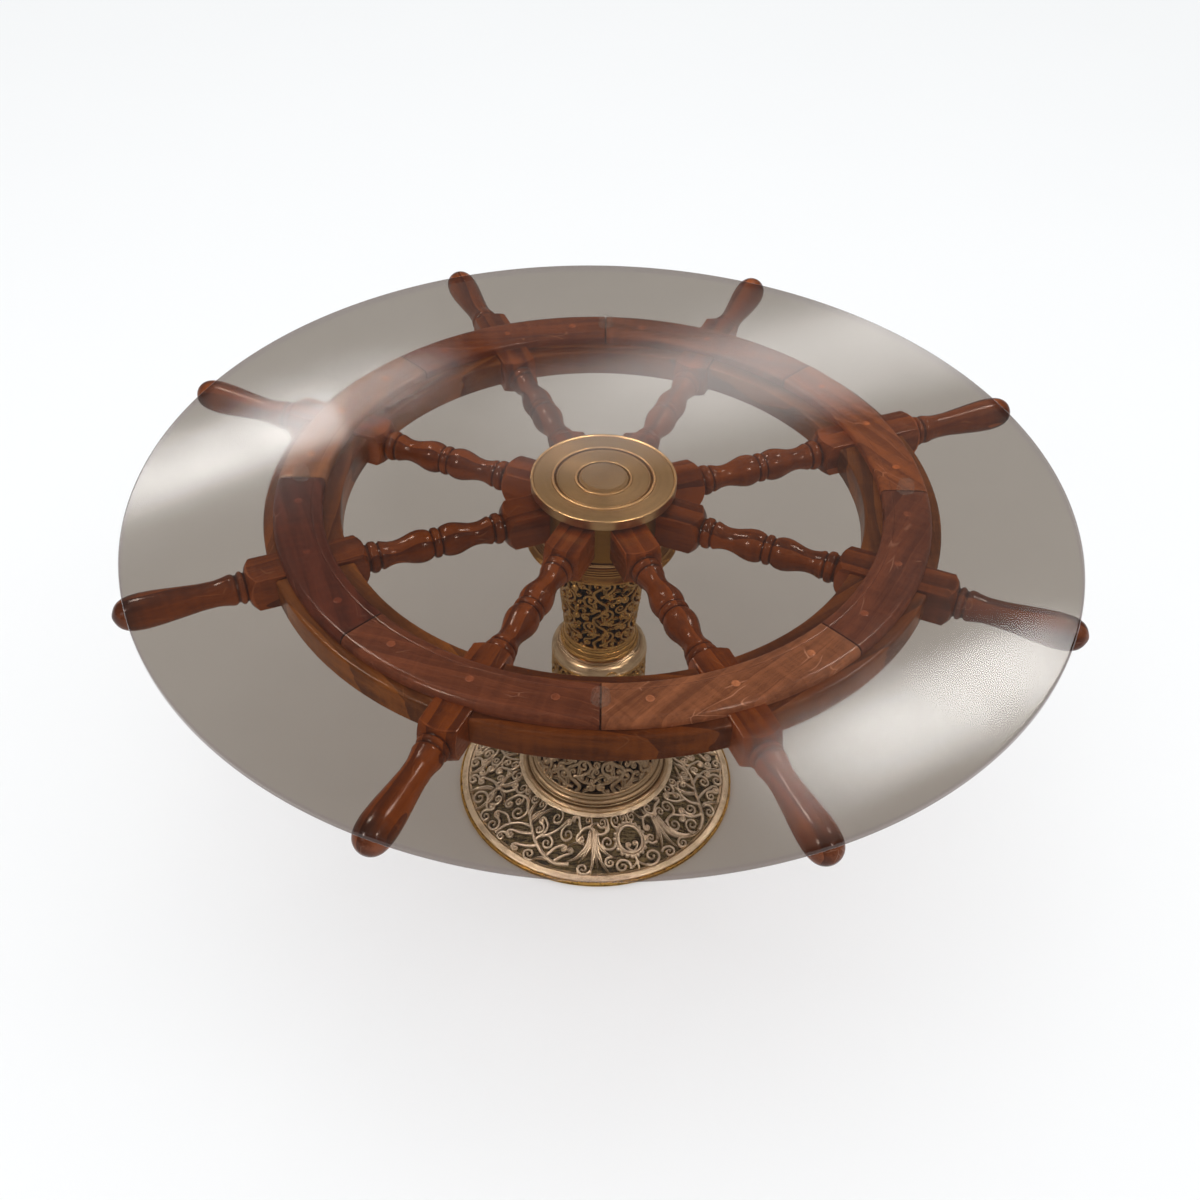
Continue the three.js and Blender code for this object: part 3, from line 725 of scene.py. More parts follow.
def add_facing(index, section, underside):
    rng = random.Random(40 + index + (20 if underside else 0))
    half = SECTOR / 2 - HALF_JOINT / RIM_MIDDLE
    angles = end_spaced(-half, half, BOARD_STEPS, BEVEL_LENGTH / RIM_MIDDLE)
    rings = swept(section, angles, BEVEL_DEPTH)
    base = np.array(FACING_TINTS[index])
    tint = np.broadcast_to(base, rings.shape).copy()
    radii = np.hypot(rings[..., 0], rings[..., 1])
    # The scored line round the facing is painted paler, a painted highlight along it.
    score_highlight = (np.abs(radii - SCORE_RADIUS) < 0.3) & (rings[..., 2] > FACING["top"] - 1)
    tint[score_highlight] = base * 1.5
    tint[0] = tint[-1] = base * 0.12
    turn = rotation(math.radians(90 + FACING_GRAIN_TURN[index]))
    offset = plank_offset(rng)
    piece = Piece().grid(rings, tint=tint.reshape(-1, 3), grain=rings.reshape(-1, 3) @ turn + offset)
    # A plug is paler than its board, and its dark side draws a thin line round it.
    plug_tint = base * 1.7 * np.repeat([0.3, 0.35, 1.0, 1.0, 1.0], PLUG_SIDES)[:, None]
    for degrees in (-15, 0, 15):
        plug = plug_rings(RIDGE, math.radians(degrees + rng.uniform(-0.6, 0.6)), FACING["top"] - 0.1)
        piece.grid(plug, tint=plug_tint, grain=plug.reshape(-1, 3)[:, ::-1] + offset)
    place = rotation(FIRST_SPOKE + index * SECTOR)
    name = f"top_facing_{index + 1}"
    if underside:
        place = place @ np.diag([1.0, -1.0, -1.0])
        name = f"bottom_facing_{index + 1}"
    piece.make(name + "_board", "wheel", "mahogany" if index % 2 == 0 else "teak", [FACING_WOOD], [name],
               sharp=40, place=(place, (0, 0, WHEEL_Z)))


def add_felloe(index):
    inner, outer, half = (FELLOE[key] for key in ("inner", "outer", "half"))
    section = np.array(supported(filleted([(inner, -half, 2.5), (outer, -half, 3), (outer, half, 3),
                                           (inner, half, 2.5)], 5)))
    limit = SECTOR / 2 - np.arcsin((BLOCK_HALF + JOINT_GAP) / section[:, 0])
    rings = swept(section, [share * limit for share in end_spaced(-1, 1, BOARD_STEPS, 0.004)], 0.5)
    rng = random.Random(90 + index)
    turn = rotation(math.radians(90 + rng.uniform(-8, 8)))
    grain = rings.reshape(-1, 3) @ turn + plank_offset(rng)
    piece = Piece().grid(rings, tint=FELLOE_TINTS[index], grain=grain)
    name = f"felloe_{index + 1}"
    piece.make(name + "_board", "wheel", "teak", [FELLOE_WOOD], [name], sharp=40,
               place=(rotation(FIRST_SPOKE + (index + 0.5) * SECTOR), (0, 0, WHEEL_Z)))


def build_wheel():
    section = facing_section()
    for index in range(SPOKES):
        add_spoke(index)
        add_facing(index, section, underside=False)
        add_facing(index, section, underside=True)
        add_felloe(index)


# ---------------------------------------------------------------- turned metal

def torus_bulge(radius, low, high, proud, steps=8):
    """Points of a half-round moulding on a wall at the radius, from low to high."""
    middle, half = (low + high) / 2, (high - low) / 2
    points = []
    for i in range(steps + 1):
        angle = -math.pi / 2 + math.pi * i / steps
        points.append((radius + proud * math.cos(angle), middle + half * math.sin(angle)))
    return points


def make_turned(node, body, slot, material, outline, sides, sharp=38, tint=(1, 1, 1)):
    """One turned piece, which stands for one node."""
    piece = Piece().lathe(outline, sides, tint=tint)
    piece.make(node + "_turned", body, slot, [material], [node], sharp=sharp)


# Heights on the hub: the barrel's bead lies between the first two, the cap's grooves have their
# floors between the next two, and its raised rings and rim reach above the last.
BEAD_BOTTOM, BEAD_TOP = 426.6, 431.6
GROOVE_BOTTOM, GROOVE_TOP = 493, 493.5
RING_BOTTOM = 495


def barrel_shade_tint(radius, height):
    """The barrel is painted much darker than its flare, as painted shade, and the bead between them is
    bright.
    """
    if height > BEAD_TOP:
        return (0.42, 0.30, 0.10)
    if height > BEAD_BOTTOM:
        return (1.0, 0.96, 0.9)
    return (0.74, 0.60, 0.36)


def cap_painted_light(radius, height):
    """The cap's raised rings are painted bright, as painted highlights, and its grooves are painted dark,
    as painted shade.
    """
    if GROOVE_BOTTOM < height < GROOVE_TOP:
        return (0.42, 0.36, 0.26)
    if height > RING_BOTTOM and radius < 80:
        return (1.25, 1.25, 1.25)
    return (0.92, 0.92, 0.92)


def build_hub():
    barrel = [(20.3, 412), (85.9, 412), (86.3, 412.4), (86.3, 413.6), (85.8, 414.2)]
    barrel += [(83.9, 415.2), (82.4, 416.6), (81.4, 418.4), (81.0, 420.0), (79.8, 420.4), (79.6, 422.0),
               (78.6, 422.4), (78.3, 424.2), (77.2, 424.7), (76.6, 426.2), (74.2, 426.8)]
    barrel += torus_bulge(74.0, 427, 431.4, 2.1)
    barrel += [(73, 431.8), (73, 483.6), (72.6, 484), (34, 484), (34, 464), (20.3, 464)]
    make_turned("hub_barrel", "wheel", "satin_brass", HUB_BRASS, barrel, 192, 30, barrel_shade_tint)
    cap = filleted([
        (0, 484.3), (27, 484.3), (27, 479), (33, 479), (33, 484.3), (80.3, 484.3, 0.6), (80.3, 496, 0.9),
        (78.2, 496, 0.4), (77.0, 494.4, 0.3), (57.4, 494.3, 0.3), (56.6, 495.7, 0.5), (54.8, 495.7, 0.5),
        (54.0, 493.2, 0.3), (52.2, 493.2, 0.3), (51.4, 494.4), (50.4, 494.4), (49.8, 493.9),
        (31.8, 493.9, 0.3), (31.0, 495.2, 0.5), (29.4, 495.2, 0.5), (28.6, 493.3, 0.3), (27.4, 493.3),
        (27.0, 494.0), (0, 494.0),
    ], 3)
    make_turned("hub_cap", "wheel", "satin_brass", HUB_BRASS, cap, 224, 26, cap_painted_light)
    bush = filleted([(BORE, 412), (20, 412), (20, 463.7, 0.6), (BORE, 463.7, 0.6)], 3)
    make_turned("hub_bush", "wheel", "bronze", BRONZE, bush, 64)


GLASS_RADIUS = 500.0
GLASS_BOTTOM = 498.0
GLASS_TOP = 506.0
# The loose glass lies this far in front of the wheel's axis.
GLASS_FORWARD = 50.0


def build_glass():
    pane = supported(filleted([(0, GLASS_BOTTOM), (GLASS_RADIUS, GLASS_BOTTOM, 2),
                               (GLASS_RADIUS, GLASS_TOP, 2), (0, GLASS_TOP)], 5))
    sides = 288
    piece = Piece().lathe(pane, sides, support=False)
    edge_from = GLASS_RADIUS - 2.1
    ends = list(zip(pane, pane[1:] + pane[:1]))
    piece.slots = [int(min(start[0], stop[0]) > edge_from) for start, stop in ends] * sides
    glass = piece.make("glass_disc", "glass", "smoked_glass", [GLASS, GLASS_EDGE], ["glass_top"], sharp=50,
                       place=(np.eye(3), (0, -GLASS_FORWARD, 0)))
    # The smoked glass tints what is seen through it, but takes no light from what lies under it.
    glass.visible_shadow = False
    glass.visible_diffuse = False
    glass.visible_glossy = False
    pad = filleted([(0, 496.3), (24, 496.3, 0.4), (24, 497.7, 0.4), (0, 497.7)], 3)
    Piece().lathe(pad, 72).make("hub_pad_disc", "wheel", "clear_rubber", [RUBBER], ["hub_pad"])
    foot = filleted([(0, 486.3), (10, 486.3, 1), (8.5, 497.7, 1.4), (0, 497.7)], 4)
    for i in range(4):
        name = f"glass_bumper_{i + 1}"
        spot = around(RIM_MIDDLE, math.pi / 2 * (1 + i), 0)
        Piece().lathe(foot, 48).make(name + "_moulded", "wheel", "clear_rubber", [RUBBER], [name],
                                     place=(np.eye(3), spot))


def build_turned_castings():
    """The pedestal's plain rings and mouldings."""
    foot = filleted([
        (26, 0), (178.0, 0, 0.6), (178.4, 1.2, 0.5), (177.6, 2.0, 0.4), (178.4, 3.2, 0.6), (177.8, 5, 0.8),
        (36, 5), (36, 24, 2), (10.3, 24), (10.3, 14), (26, 14),
    ], 3)
    Piece().lathe(foot, 288).make("foot_cast", "pedestal", "antique_brass", [MOTTLED_BRASS], ["foot_plate"])

    ring = filleted([(68, 40.3), (94.6, 40.3), (94.6, 42.6, 1.3), (91.6, 43.7, 0.6), (90.2, 43.2, 0.4),
                     (89.2, 42.9), (87.6, 43.2), (86.6, 44.6, 0.5)], 4)
    ring += torus_bulge(84.6, 44.9, 50.3, 2.0)
    ring += [(82.4, 50.8), (81.8, 51.4), (80.9, 52.6), (80.2, 53.7), (68, 53.7)]

    bell_ring = [(BORE, 140.3), (57.5, 140.3)] + torus_bulge(58.0, 140.6, 144.4, 3.2)
    bell_ring += [(59.4, 144.9)] + torus_bulge(59.2, 145.2, 149.4, 3.2)
    bell_ring += [(58.2, 149.8), (57.8, 151.7), (BORE, 151.7)]

    shoulder = [(BORE, 241.3), (57.0, 241.3)] + torus_bulge(56.4, 241.5, 244.3, 1.1, 6)
    shoulder += [(56.9, 244.8), (56.6, 246.4), (55.6, 249.0), (53.8, 251.4), (51.4, 253.2), (49.6, 254.0),
                 (48.8, 254.2), (48.4, 254.9), (47.4, 255.3), (46.4, 255.9), (45.8, 256), (BORE, 256)]

    moulding = [(BORE, 256.3), (46.8, 256.3)] + torus_bulge(44.6, 256.6, 262.4, 2.8)
    moulding += [(44.6, 263.0), (44.2, 263.6)] + torus_bulge(43.2, 264.0, 268.4, 1.6)
    moulding += [(43.0, 269.0), (42.4, 270.4), (42.0, 271), (BORE, 271)]

    neck = [(BORE, 400.3), (51.0, 400.3)] + torus_bulge(49.8, 400.5, 404.0, 2.0, 6)
    neck += [(49.4, 404.6), (48.6, 406.6), (48.0, 408), (BORE, 408)]

    thrust = filleted([(BORE, 408.3), (44, 408.3, 0.5), (44, 411.7, 0.5), (BORE, 411.7)], 3)

    for node, slot, material, outline, sides, sharp in (
            ("base_ring", "silvered_brass", SILVERED_BRASS, ring, 224, 30),
            ("bell_ring", "antique_brass", ANTIQUE_BRASS, bell_ring, 160, 30),
            ("shoulder", "silvered_brass", SILVERED_BRASS, shoulder, 192, 34),
            ("drum_moulding", "antique_brass", ANTIQUE_BRASS, moulding, 160, 34),
            ("neck_collar", "antique_brass", ANTIQUE_BRASS, neck, 160, 34),
            ("thrust_washer", "bronze", BRONZE, thrust, 128, 38)):
        make_turned(node, "pedestal", slot, material, outline, sides, sharp)


def hexagon_rings(across, bore, bottom, top):
    """A hexagon nut with its corners turned off, as rings from the bore out and back."""
    angles = full_turn(72)
    flat = across / 2 / np.cos((angles + math.pi / 6) % (math.pi / 3) - math.pi / 6)
    crown = np.minimum(flat, across / 2 * 1.06)
    return np.array([around(radius, angles, height) for radius, height in (
        (bore, bottom), (crown, bottom), (flat, bottom + 1), (flat, top - 1), (crown, top), (bore, top))])


def build_spindle():
    shaft = filleted([(0, 2), (9.4, 2), (10, 2.8), (10, 24.3), (15, 24.3), (15, 463.7), (10, 463.7),
                      (10, 478.2), (9.4, 479), (0, 479)], 2)
    make_turned("spindle", "pedestal", "steel", STEEL, shaft, 72)
    bore = 10.3
    for node, radius, low, high in (("foot_washer", 22, 11.7, 13.7), ("spindle_washer", 26, 464.3, 467.3)):
        ring = filleted([(bore, low), (radius, low, 0.4), (radius, high, 0.4), (bore, high)], 2)
        make_turned(node, "pedestal", "steel", STEEL, ring, 72)
    for node, low, high in (("foot_nut", 2, 11.4), ("spindle_nut", 467.6, 478.3)):
        nut = Piece().grid(hexagon_rings(30, bore, low, high), wrap_rows=True)
        nut.make(node + "_hexagon", "pedestal", "steel", [STEEL], [node], sharp=25)


# ---------------------------------------------------------------- openwork

class Drum:
    """Surface of an upright pierced casting: x runs round it, y up it, and lift stands off it."""

    def __init__(self, profile, measured_at):
        self.heights = [z for _, z in profile]
        self.radii = [r for r, _ in profile]
        self.scale = measured_at

    def place(self, flat, lift):
        radius = np.interp(flat[:, 1], self.heights, self.radii) + lift
        return around(radius, flat[:, 0] / self.scale, flat[:, 1])


class Cone:
    """Surface of the base flange: x runs round it, y in towards the axis, from the middle of the band."""

    MIDDLE = 132.0
    OUTER, OUTER_TOP, INNER, INNER_TOP = 175.2, 6.5, 95.6, 40.0

    def height(self, radius):
        share = (self.OUTER - radius) / (self.OUTER - self.INNER)
        return self.OUTER_TOP + (self.INNER_TOP - self.OUTER_TOP) * np.clip(share, 0, 1)

    def place(self, flat, lift):
        angle = flat[:, 0] / self.MIDDLE - math.pi / 2
        radius = self.MIDDLE - flat[:, 1]
        return around(radius + 0.38 * lift, angle, self.height(radius) + 0.92 * lift)


class Scrollwork:
    """Draws cast tendrils, leaves and beads on a surface, all in one piece."""

    # Cross-sections as (share of half width, share of height above the back).
    ROUND = [(-1, 0), (-1, 0.45), (-0.72, 0.86), (0, 1.0), (0.72, 0.86), (1, 0.45), (1, 0)]
    VEINED = [(-1, 0), (-1, 0.5), (-0.6, 1.0), (0, 0.78), (0.6, 1.0), (1, 0.5), (1, 0)]
    # The cast work is duller than the bands that frame it.
    TINT = (0.78, 0.79, 0.84)
    # Distance between the points of a stroke.
    STEP = 1.6
    # Filling: how finely gaps are looked for, how far curls may share their room, the room below
    # which a gap takes a leaf, and the widest curl.
    SEARCH_STEP = 1.4
    SHARED_ROOM = 0.86
    LEAF_ROOM = 3.9
    WIDEST_CURL = 9.5

    def __init__(self, piece, surface, depth, proud):
        self.piece = piece
        self.surface = surface
        self.depth = depth
        self.proud = proud
        self.motif = ((0, 0), 0.0, False)
        self.marks = []

    def at(self, origin, turn=0.0, mirrored=False):
        """Draws what follows about a new origin, turned and perhaps mirrored."""
        self.motif = (origin, turn, mirrored)
        return self

    def _placed(self, flat):
        flat = np.array(flat, float)
        (x, y), turn, mirrored = self.motif
        if mirrored:
            flat = flat * (-1, 1)
        c, s = math.cos(turn), math.sin(turn)
        return flat @ np.array([[c, s], [-s, c]]) + (x, y)

    def ribbon(self, path, widths, section=None, heights=None):
        path = self._placed(path)
        self.marks.append(np.column_stack([path, np.broadcast_to(widths, len(path)) / 2]))
        section = section or self.ROUND
        tangent = np.gradient(path, axis=0)
        tangent /= np.maximum(np.linalg.norm(tangent, axis=1, keepdims=True), 1e-9)
        normal = np.stack([-tangent[:, 1], tangent[:, 0]], axis=-1)
        heights = np.ones(len(path)) if heights is None else heights
        rings = []
        for across, up in section:
            flat = path + normal * (across * widths / 2)[:, None]
            lift = -self.depth + (self.depth + self.proud * heights) * up
            rings.append(self.surface.place(flat, lift))
        self.piece.grid(np.stack(rings, axis=1), tint=self.TINT)

    def tendril(self, points, width, end, curl=0.0, turns=1.3, hand=1):
        """A stem through the points, ending in a volute that starts `curl` wide and winds inwards."""
        path = spline(points, self.STEP)
        if curl > 0:
            heading = path[-1] - path[-2]
            angle = math.atan2(heading[1], heading[0])
            centre = path[-1] + curl * unit(angle + hand * math.pi / 2)
            count = int(18 * turns) + 4
            share = np.arange(1, count + 1) / count
            radius = curl * (1 - 0.80 * share ** 0.9)
            winding = radius[:, None] * unit(angle - hand * math.pi / 2 + hand * share * turns * TAU)
            path = np.vstack([path, centre + winding])
        share = np.linspace(0, 1, len(path))
        self.ribbon(path, width + (end - width) * share, heights=1 - 0.25 * share)
        if curl > 0:
            self.bead(path[-1], 1.05 * end + 0.25)

    def leaf(self, start, tip, bend, width):
        """A veined leaf from start to tip, bowed sideways by `bend`."""
        start, tip = np.array(start, float), np.array(tip, float)
        along = tip - start
        side = np.array([-along[1], along[0]]) / max(np.linalg.norm(along), 1e-9)
        path = spline([start, start + along * 0.35 + side * bend, start + along * 0.75 + side * bend * 0.8,
                       tip], self.STEP)
        share = np.linspace(0, 1, len(path))
        widths = width * (0.3 + 0.7 * np.sin(math.pi * share ** 0.7)) * (1 - 0.45 * share)
        self.ribbon(path, widths, self.VEINED, heights=0.55 + 0.6 * np.sin(math.pi * share))

    def keep_clear(self, centre, radius):
        """Keeps filling curls out of a circle."""
        for share in (0, 0.35, 0.75):
            spots = centre + share * radius * unit(full_turn(12))
            self.marks.append(np.column_stack([self._placed(spots), np.full(12, 0.3 * radius)]))

    def curl(self, root, centre, room, weight, hand):
        """A curl that springs from a stem at `root` and winds in round `centre`."""
        away = np.array(root) - centre
        turns = 1.35 if room > 5 else 0.95
        count = int(9 * turns * math.sqrt(room))
        share = np.arange(count + 1) / count
        outer = room - 0.3 * weight
        radius = np.interp(share, (0, 0.16, 1), (np.linalg.norm(away), outer, 0.24 * outer))
        angle = math.atan2(away[1], away[0]) + hand * turns * TAU * share
        path = centre + radius[:, None] * unit(angle)
        self.ribbon(path, weight * (1.0 - 0.42 * share), heights=1 - 0.2 * share)
        self.bead(path[-1], 0.42 * weight)

    def fill(self, width, low, high, weight, seed, smallest):
        """Fills the gaps between the motifs round a band with curls and leaves on the nearest stems."""
        self.at((0, 0))
        rng = random.Random(seed)
        marks = np.vstack(self.marks)
        tree = KDTree(3 * len(marks))
        for index, (x, y, _) in enumerate(marks):
            for turn in (-1, 0, 1):
                tree.insert((x + turn * width, y, 0), index)
        tree.balance()
        spots = []
        for x in np.arange(0, width, self.SEARCH_STEP):
            for y in np.arange(low + 1, high - 1, self.SEARCH_STEP):
                stem, index, distance = tree.find((x, y, 0))
                room = min(distance - marks[index, 2], y - low + 0.6, high - y + 0.6)
                if room > smallest:
                    spots.append((room, x, y, (stem.x, stem.y)))
        spots.sort(reverse=True)
        taken = []
        for room, x, y, stem in spots:
            if all((x - a) ** 2 + (y - b) ** 2 > (self.SHARED_ROOM * (room + c)) ** 2
                   for a, b, c in taken):
                taken.append((x, y, room))
                if room > self.LEAF_ROOM:
                    curl_room = min(room, self.WIDEST_CURL)
                    self.curl(stem, (x, y), curl_room, weight, rng.choice((-1, 1)))
                else:
                    tip = (x + 0.9 * (x - stem[0]), y + 0.9 * (y - stem[1]))
                    self.leaf(stem, tip, rng.uniform(-1, 1), weight * 1.5)

    def bead(self, centre, radius):
        centre = self._placed([centre])[0]
        rings = []
        for share, up in ((1, 0), (1, 0.55), (0.75, 0.95), (0.35, 1.15), (0.05, 1.2)):
            flat = centre + share * radius * unit(full_turn(10))
            lift = -self.depth + (self.depth + self.proud) * up
            rings.append(self.surface.place(flat, np.full(10, lift)))
        self.piece.grid(np.array(rings), tint=self.TINT)


def drum_scrolls(work, width, low, high, columns, rows, weight, rng):
    """Stems that climb a drum in waves, with volutes, leaves and buds filling the bays."""
    cell = width / columns
    rise = (high - low) / rows
    for column in range(columns):
        middle = (column + 0.5) * cell
        sway = 0.17 * cell
        flip = 1 if column % 2 else -1
        stem = []
        for step in range(rows * 4 + 1):
            y = low + step * rise / 4
            stem.append((middle + flip * sway * math.sin(step * math.pi / 2 + 0.5), y))
        work.at((0, 0)).tendril(stem, weight * 1.05, weight * 0.9)
        for row in range(rows):
            for side in (-1, 1):
                jitter = rng.uniform(-0.06, 0.06)
                y = low + (row + 0.12 + (0.5 if side * flip > 0 else 0.0) + jitter) * rise
                work.at((middle, y), rng.uniform(-0.22, 0.22), mirrored=side < 0)
                curl = min(cell, rise) * rng.uniform(0.21, 0.25)
                work.tendril([(0, -2), (0.14 * cell, 0.02 * rise), (0.30 * cell, 0.17 * rise)],
                             weight, weight * 0.62, curl, rng.uniform(1.2, 1.45), 1)
                work.tendril([(0.05 * cell, 0), (0.22 * cell, -0.14 * rise), (0.40 * cell, -0.17 * rise)],
                             weight * 0.85, weight * 0.55, curl * 0.6, 1.2, -1)
                work.leaf((0.1 * cell, 0.06 * rise), (0.05 * cell, 0.42 * rise), -1.5, weight * 1.8)
                work.leaf((0.30 * cell, 0.12 * rise), (0.50 * cell, 0.02 * rise), 1.0, weight * 1.5)
                work.bead((0.19 * cell, -0.02 * rise), weight * 0.62)


# Depths below the face of a pierced casting: its openwork, the front and back of the dark sleeve
# behind that, which is painted shade for the shaded hollow inside, and its end bands, which reach into the
# sleeve.
OPENWORK_DEPTH = 4.0
SHADE_SLEEVE_FRONT = 4.2
SHADE_SLEEVE_BACK = 5.0
BAND_DEPTH = 4.6


def add_drum(name, profile, measured_at, columns, rows, weight, edge_bands, seed, slot, materials):
    """A pierced casting: end bands, scrollwork, and the dark sleeve that shows through it, a painted shade
    standing for the shaded hollow inside.
    """
    surface = Drum(profile, measured_at)
    piece = Piece()
    # The sleeve is painted shade: a dark sheet where the hollow inside lies in shade.
    shade_sleeve_outside = [(r - SHADE_SLEEVE_FRONT, z) for r, z in profile]
    shade_sleeve_inside = [(r - SHADE_SLEEVE_BACK, z) for r, z in reversed(profile)]
    piece.lathe(shade_sleeve_outside + shade_sleeve_inside, 96, slot=1)
    for bottom, top in edge_bands:
        r_low, r_high = (float(np.interp(z, surface.heights, surface.radii)) for z in (bottom, top))
        rounded = filleted([(r_low - BAND_DEPTH, bottom), (r_low, bottom, 0.7), (r_high, top, 1.2),
                            (r_high - BAND_DEPTH, top)], 3)
        piece.lathe(rounded, 144)
    work = Scrollwork(piece, surface, OPENWORK_DEPTH, -0.4)
    rng = random.Random(seed)
    first, last = edge_bands[0][1] - 1, edge_bands[-1][0] + 1
    drum_scrolls(work, TAU * measured_at, first, last, columns, rows, weight, rng)
    work.fill(TAU * measured_at, first, last, weight * 0.8, seed, 3.4)
    piece.make(name + "_pierced", "pedestal", slot, materials, [name], sharp=50)


# The flange's motifs, as strokes in the order they are drawn. A stem is (points, width, width at its
# end), and then (size, turns, hand) of the volute it ends in. A leaf is (start, tip, bend, width), and
# a bead is (centre, radius).

# Scrolls to each side above a head of leaves.
HORNED_SCROLLS = [
    ([(2, 16), (-6, 20), (-15, 17), (-21, 9)], 4.2, 2.4, 6.0, 1.1, 1),
    ([(-17, 14), (-21, 22), (-24, 30), (-32, 30)], 4.4, 2.6, 3.0, 0.7, 1),
    ([(2, 14), (12, 12), (21, 16)], 4.0, 2.4, 3.2, 0.9, 1),
    ([(17, 14), (22, 22), (20, 30), (13, 34)], 4.0, 2.4),
    ((-4, 20), (6, 26), 1, 5),
    ((-8, -2), (-30, -6), -4, 5),
]
# A stem that springs from its right and climbs leftwards, with scrolls and leaves both sides.
LEANING_TREE = [
    ([(60, -26), (44, -28), (30, -22), (14, -11), (0, 1), (-12, 10), (-25, 17)], 5.2, 3.6),
    ([(-20, 15), (-34, 22), (-48, 17), (-52, 4)], 4.2, 2.4, 6.5, 1.15, 1),
    ((-16, 12), (-36, 35), 3, 7),
    ((-10, 8), (-14, 34), 3, 8),
    ((-6, 5), (3, 26), 2, 7),
    ((-2, 4), (20, 33), 5, 7),
    ([(14, -11), (20, 0), (20, 10), (12, 16)], 3.8, 2.2, 5.0, 1.2, 1),
    ([(20, -4), (30, 4), (38, 14), (44, 24)], 3.6, 2.4, 4.2, 1.0, -1),
    ([(8, -6), (-4, -12), (-16, -16)], 4.0, 2.2, 5.6, 1.25, 1),
    ([(20, -16), (10, -22), (-2, -26)], 3.8, 2.2, 4.6, 1.2, 1),
    ([(0, 0), (-14, -4), (-26, -16), (-29, -32)], 3.8, 2.6),
    ([(-24, -12), (-36, -8), (-46, -12)], 3.4, 2.0, 4.8, 1.2, 1),
    ([(34, -24), (40, -12), (48, -6)], 3.6, 2.0, 4.4, 1.2, -1),
    ([(44, -26), (52, -18), (60, -13)], 3.4, 2.0, 3.8, 1.15, 1),
    ((38, -26), (22, -34), -2, 6),
]
# Curling arms and leaves round a bud.
ROSETTE = [
    ([(0, 0), (-8, 12), (-22, 17), (-30, 10)], 4.2, 2.4, 6.0, 1.2, 1),
    ([(0, 0), (-13, -4), (-24, -14)], 4.0, 2.4, 5.6, 1.2, 1),
    ([(0, 0), (4, -14), (16, -22)], 4.0, 2.4, 6.0, 1.2, 1),
    ([(0, 0), (12, 6), (17, 16)], 4.0, 2.4, 5.6, 1.15, 1),
    ((0, 4), (6, 36), -3, 8),
    ((-3, 6), (-12, 34), 4, 7),
    ((3, -4), (12, -36), 4, 7),
    ((-2, -6), (-12, -35), -4, 7),
    ((5, 1), (27, -4), 3, 6),
    ((0, 0), 4.2),
]
# A sprig behind a head of leaves.
SPRIG = [
    ([(0, 0), (-8, 5), (-16, 2), (-20, -6)], 4.0, 2.2, 4.2, 1.1, 1),
    ((-10, 3), (-24, 14), 3, 6),
    ((-4, 3), (-12, 18), 2, 6),
    ([(2, 0), (12, 8), (24, 10)], 3.8, 2.2, 4.6, 1.2, 1),
    ([(10, -14), (24, -12), (34, -20)], 3.6, 2.2, 4.6, 1.2, -1),
]
# A stem that climbs to the right with round scrolls hung from both sides.
CLIMBING_STEM = [
    ([(-48, -31), (-34, -26), (-20, -14), (-4, -2), (14, 7), (30, 18), (40, 32)], 5.0, 3.2),
    ([(-20, -14), (-26, 0), (-22, 14), (-10, 20)], 4.0, 2.2, 6.0, 1.2, -1),
    ([(-4, -2), (-2, 12), (8, 22), (20, 28)], 3.8, 2.6),
    ([(-26, 4), (-38, 10), (-46, 20)], 3.6, 2.2, 5.4, 1.2, -1),
    ([(-30, -22), (-42, -14), (-48, -4)], 3.6, 2.2, 4.8, 1.2, -1),
    ([(-14, -10), (0, -14), (12, -22)], 3.8, 2.2, 5.8, 1.25, -1),
    ([(4, 2), (18, -2), (30, -10)], 3.8, 2.2, 5.6, 1.2, -1),
    ([(22, 12), (34, 8), (44, -2)], 3.6, 2.2, 5.2, 1.2, -1),
    ((-8, -6), (-20, 32), 5, 7),
    ((10, 6), (-2, 32), 3, 6),
    ((-22, -18), (-6, -34), 3, 7),
    ((16, 8), (26, 34), -3, 7),
    ((28, -12), (38, -33), 4, 7),
]
# Leaves spreading from a head: (tip, bend, width).
ACANTHUS_LEAVES = [
    ((-28, -24), 7, 9), ((-15, -22), 4, 8), ((-2, -34), 2, 9), ((6, -27), -1, 7), ((17, -34), -4, 8),
    ((28, -18), -7, 7),
]
SHELL_LEAVES = [
    ((-19, -31), 5, 8), ((-15, -41), 3, 7), ((3, -47), -3, 8), ((16, -40), -6, 8), ((32, -46), -10, 9),
    ((44, -48), -16, 8),
]


def draw_strokes(work, strokes):
    for stroke in strokes:
        if isinstance(stroke[0], list):
            work.tendril(*stroke)
        elif len(stroke) == 4:
            work.leaf(*stroke)
        else:
            work.bead(*stroke)


def leaf_head(work, leaves, spread, top):
    """Leaves that fan out from a head at a height."""
    for tip, bend, width in leaves:
        work.leaf((spread * tip[0], top - 0.08 * abs(tip[0])), tip, bend, width)


def acanthus_head(work):
    """A crown with leaves spreading down from it, and horned scrolls to each side above."""
    leaf_head(work, ACANTHUS_LEAVES, 0.16, 19)
    draw_strokes(work, HORNED_SCROLLS)


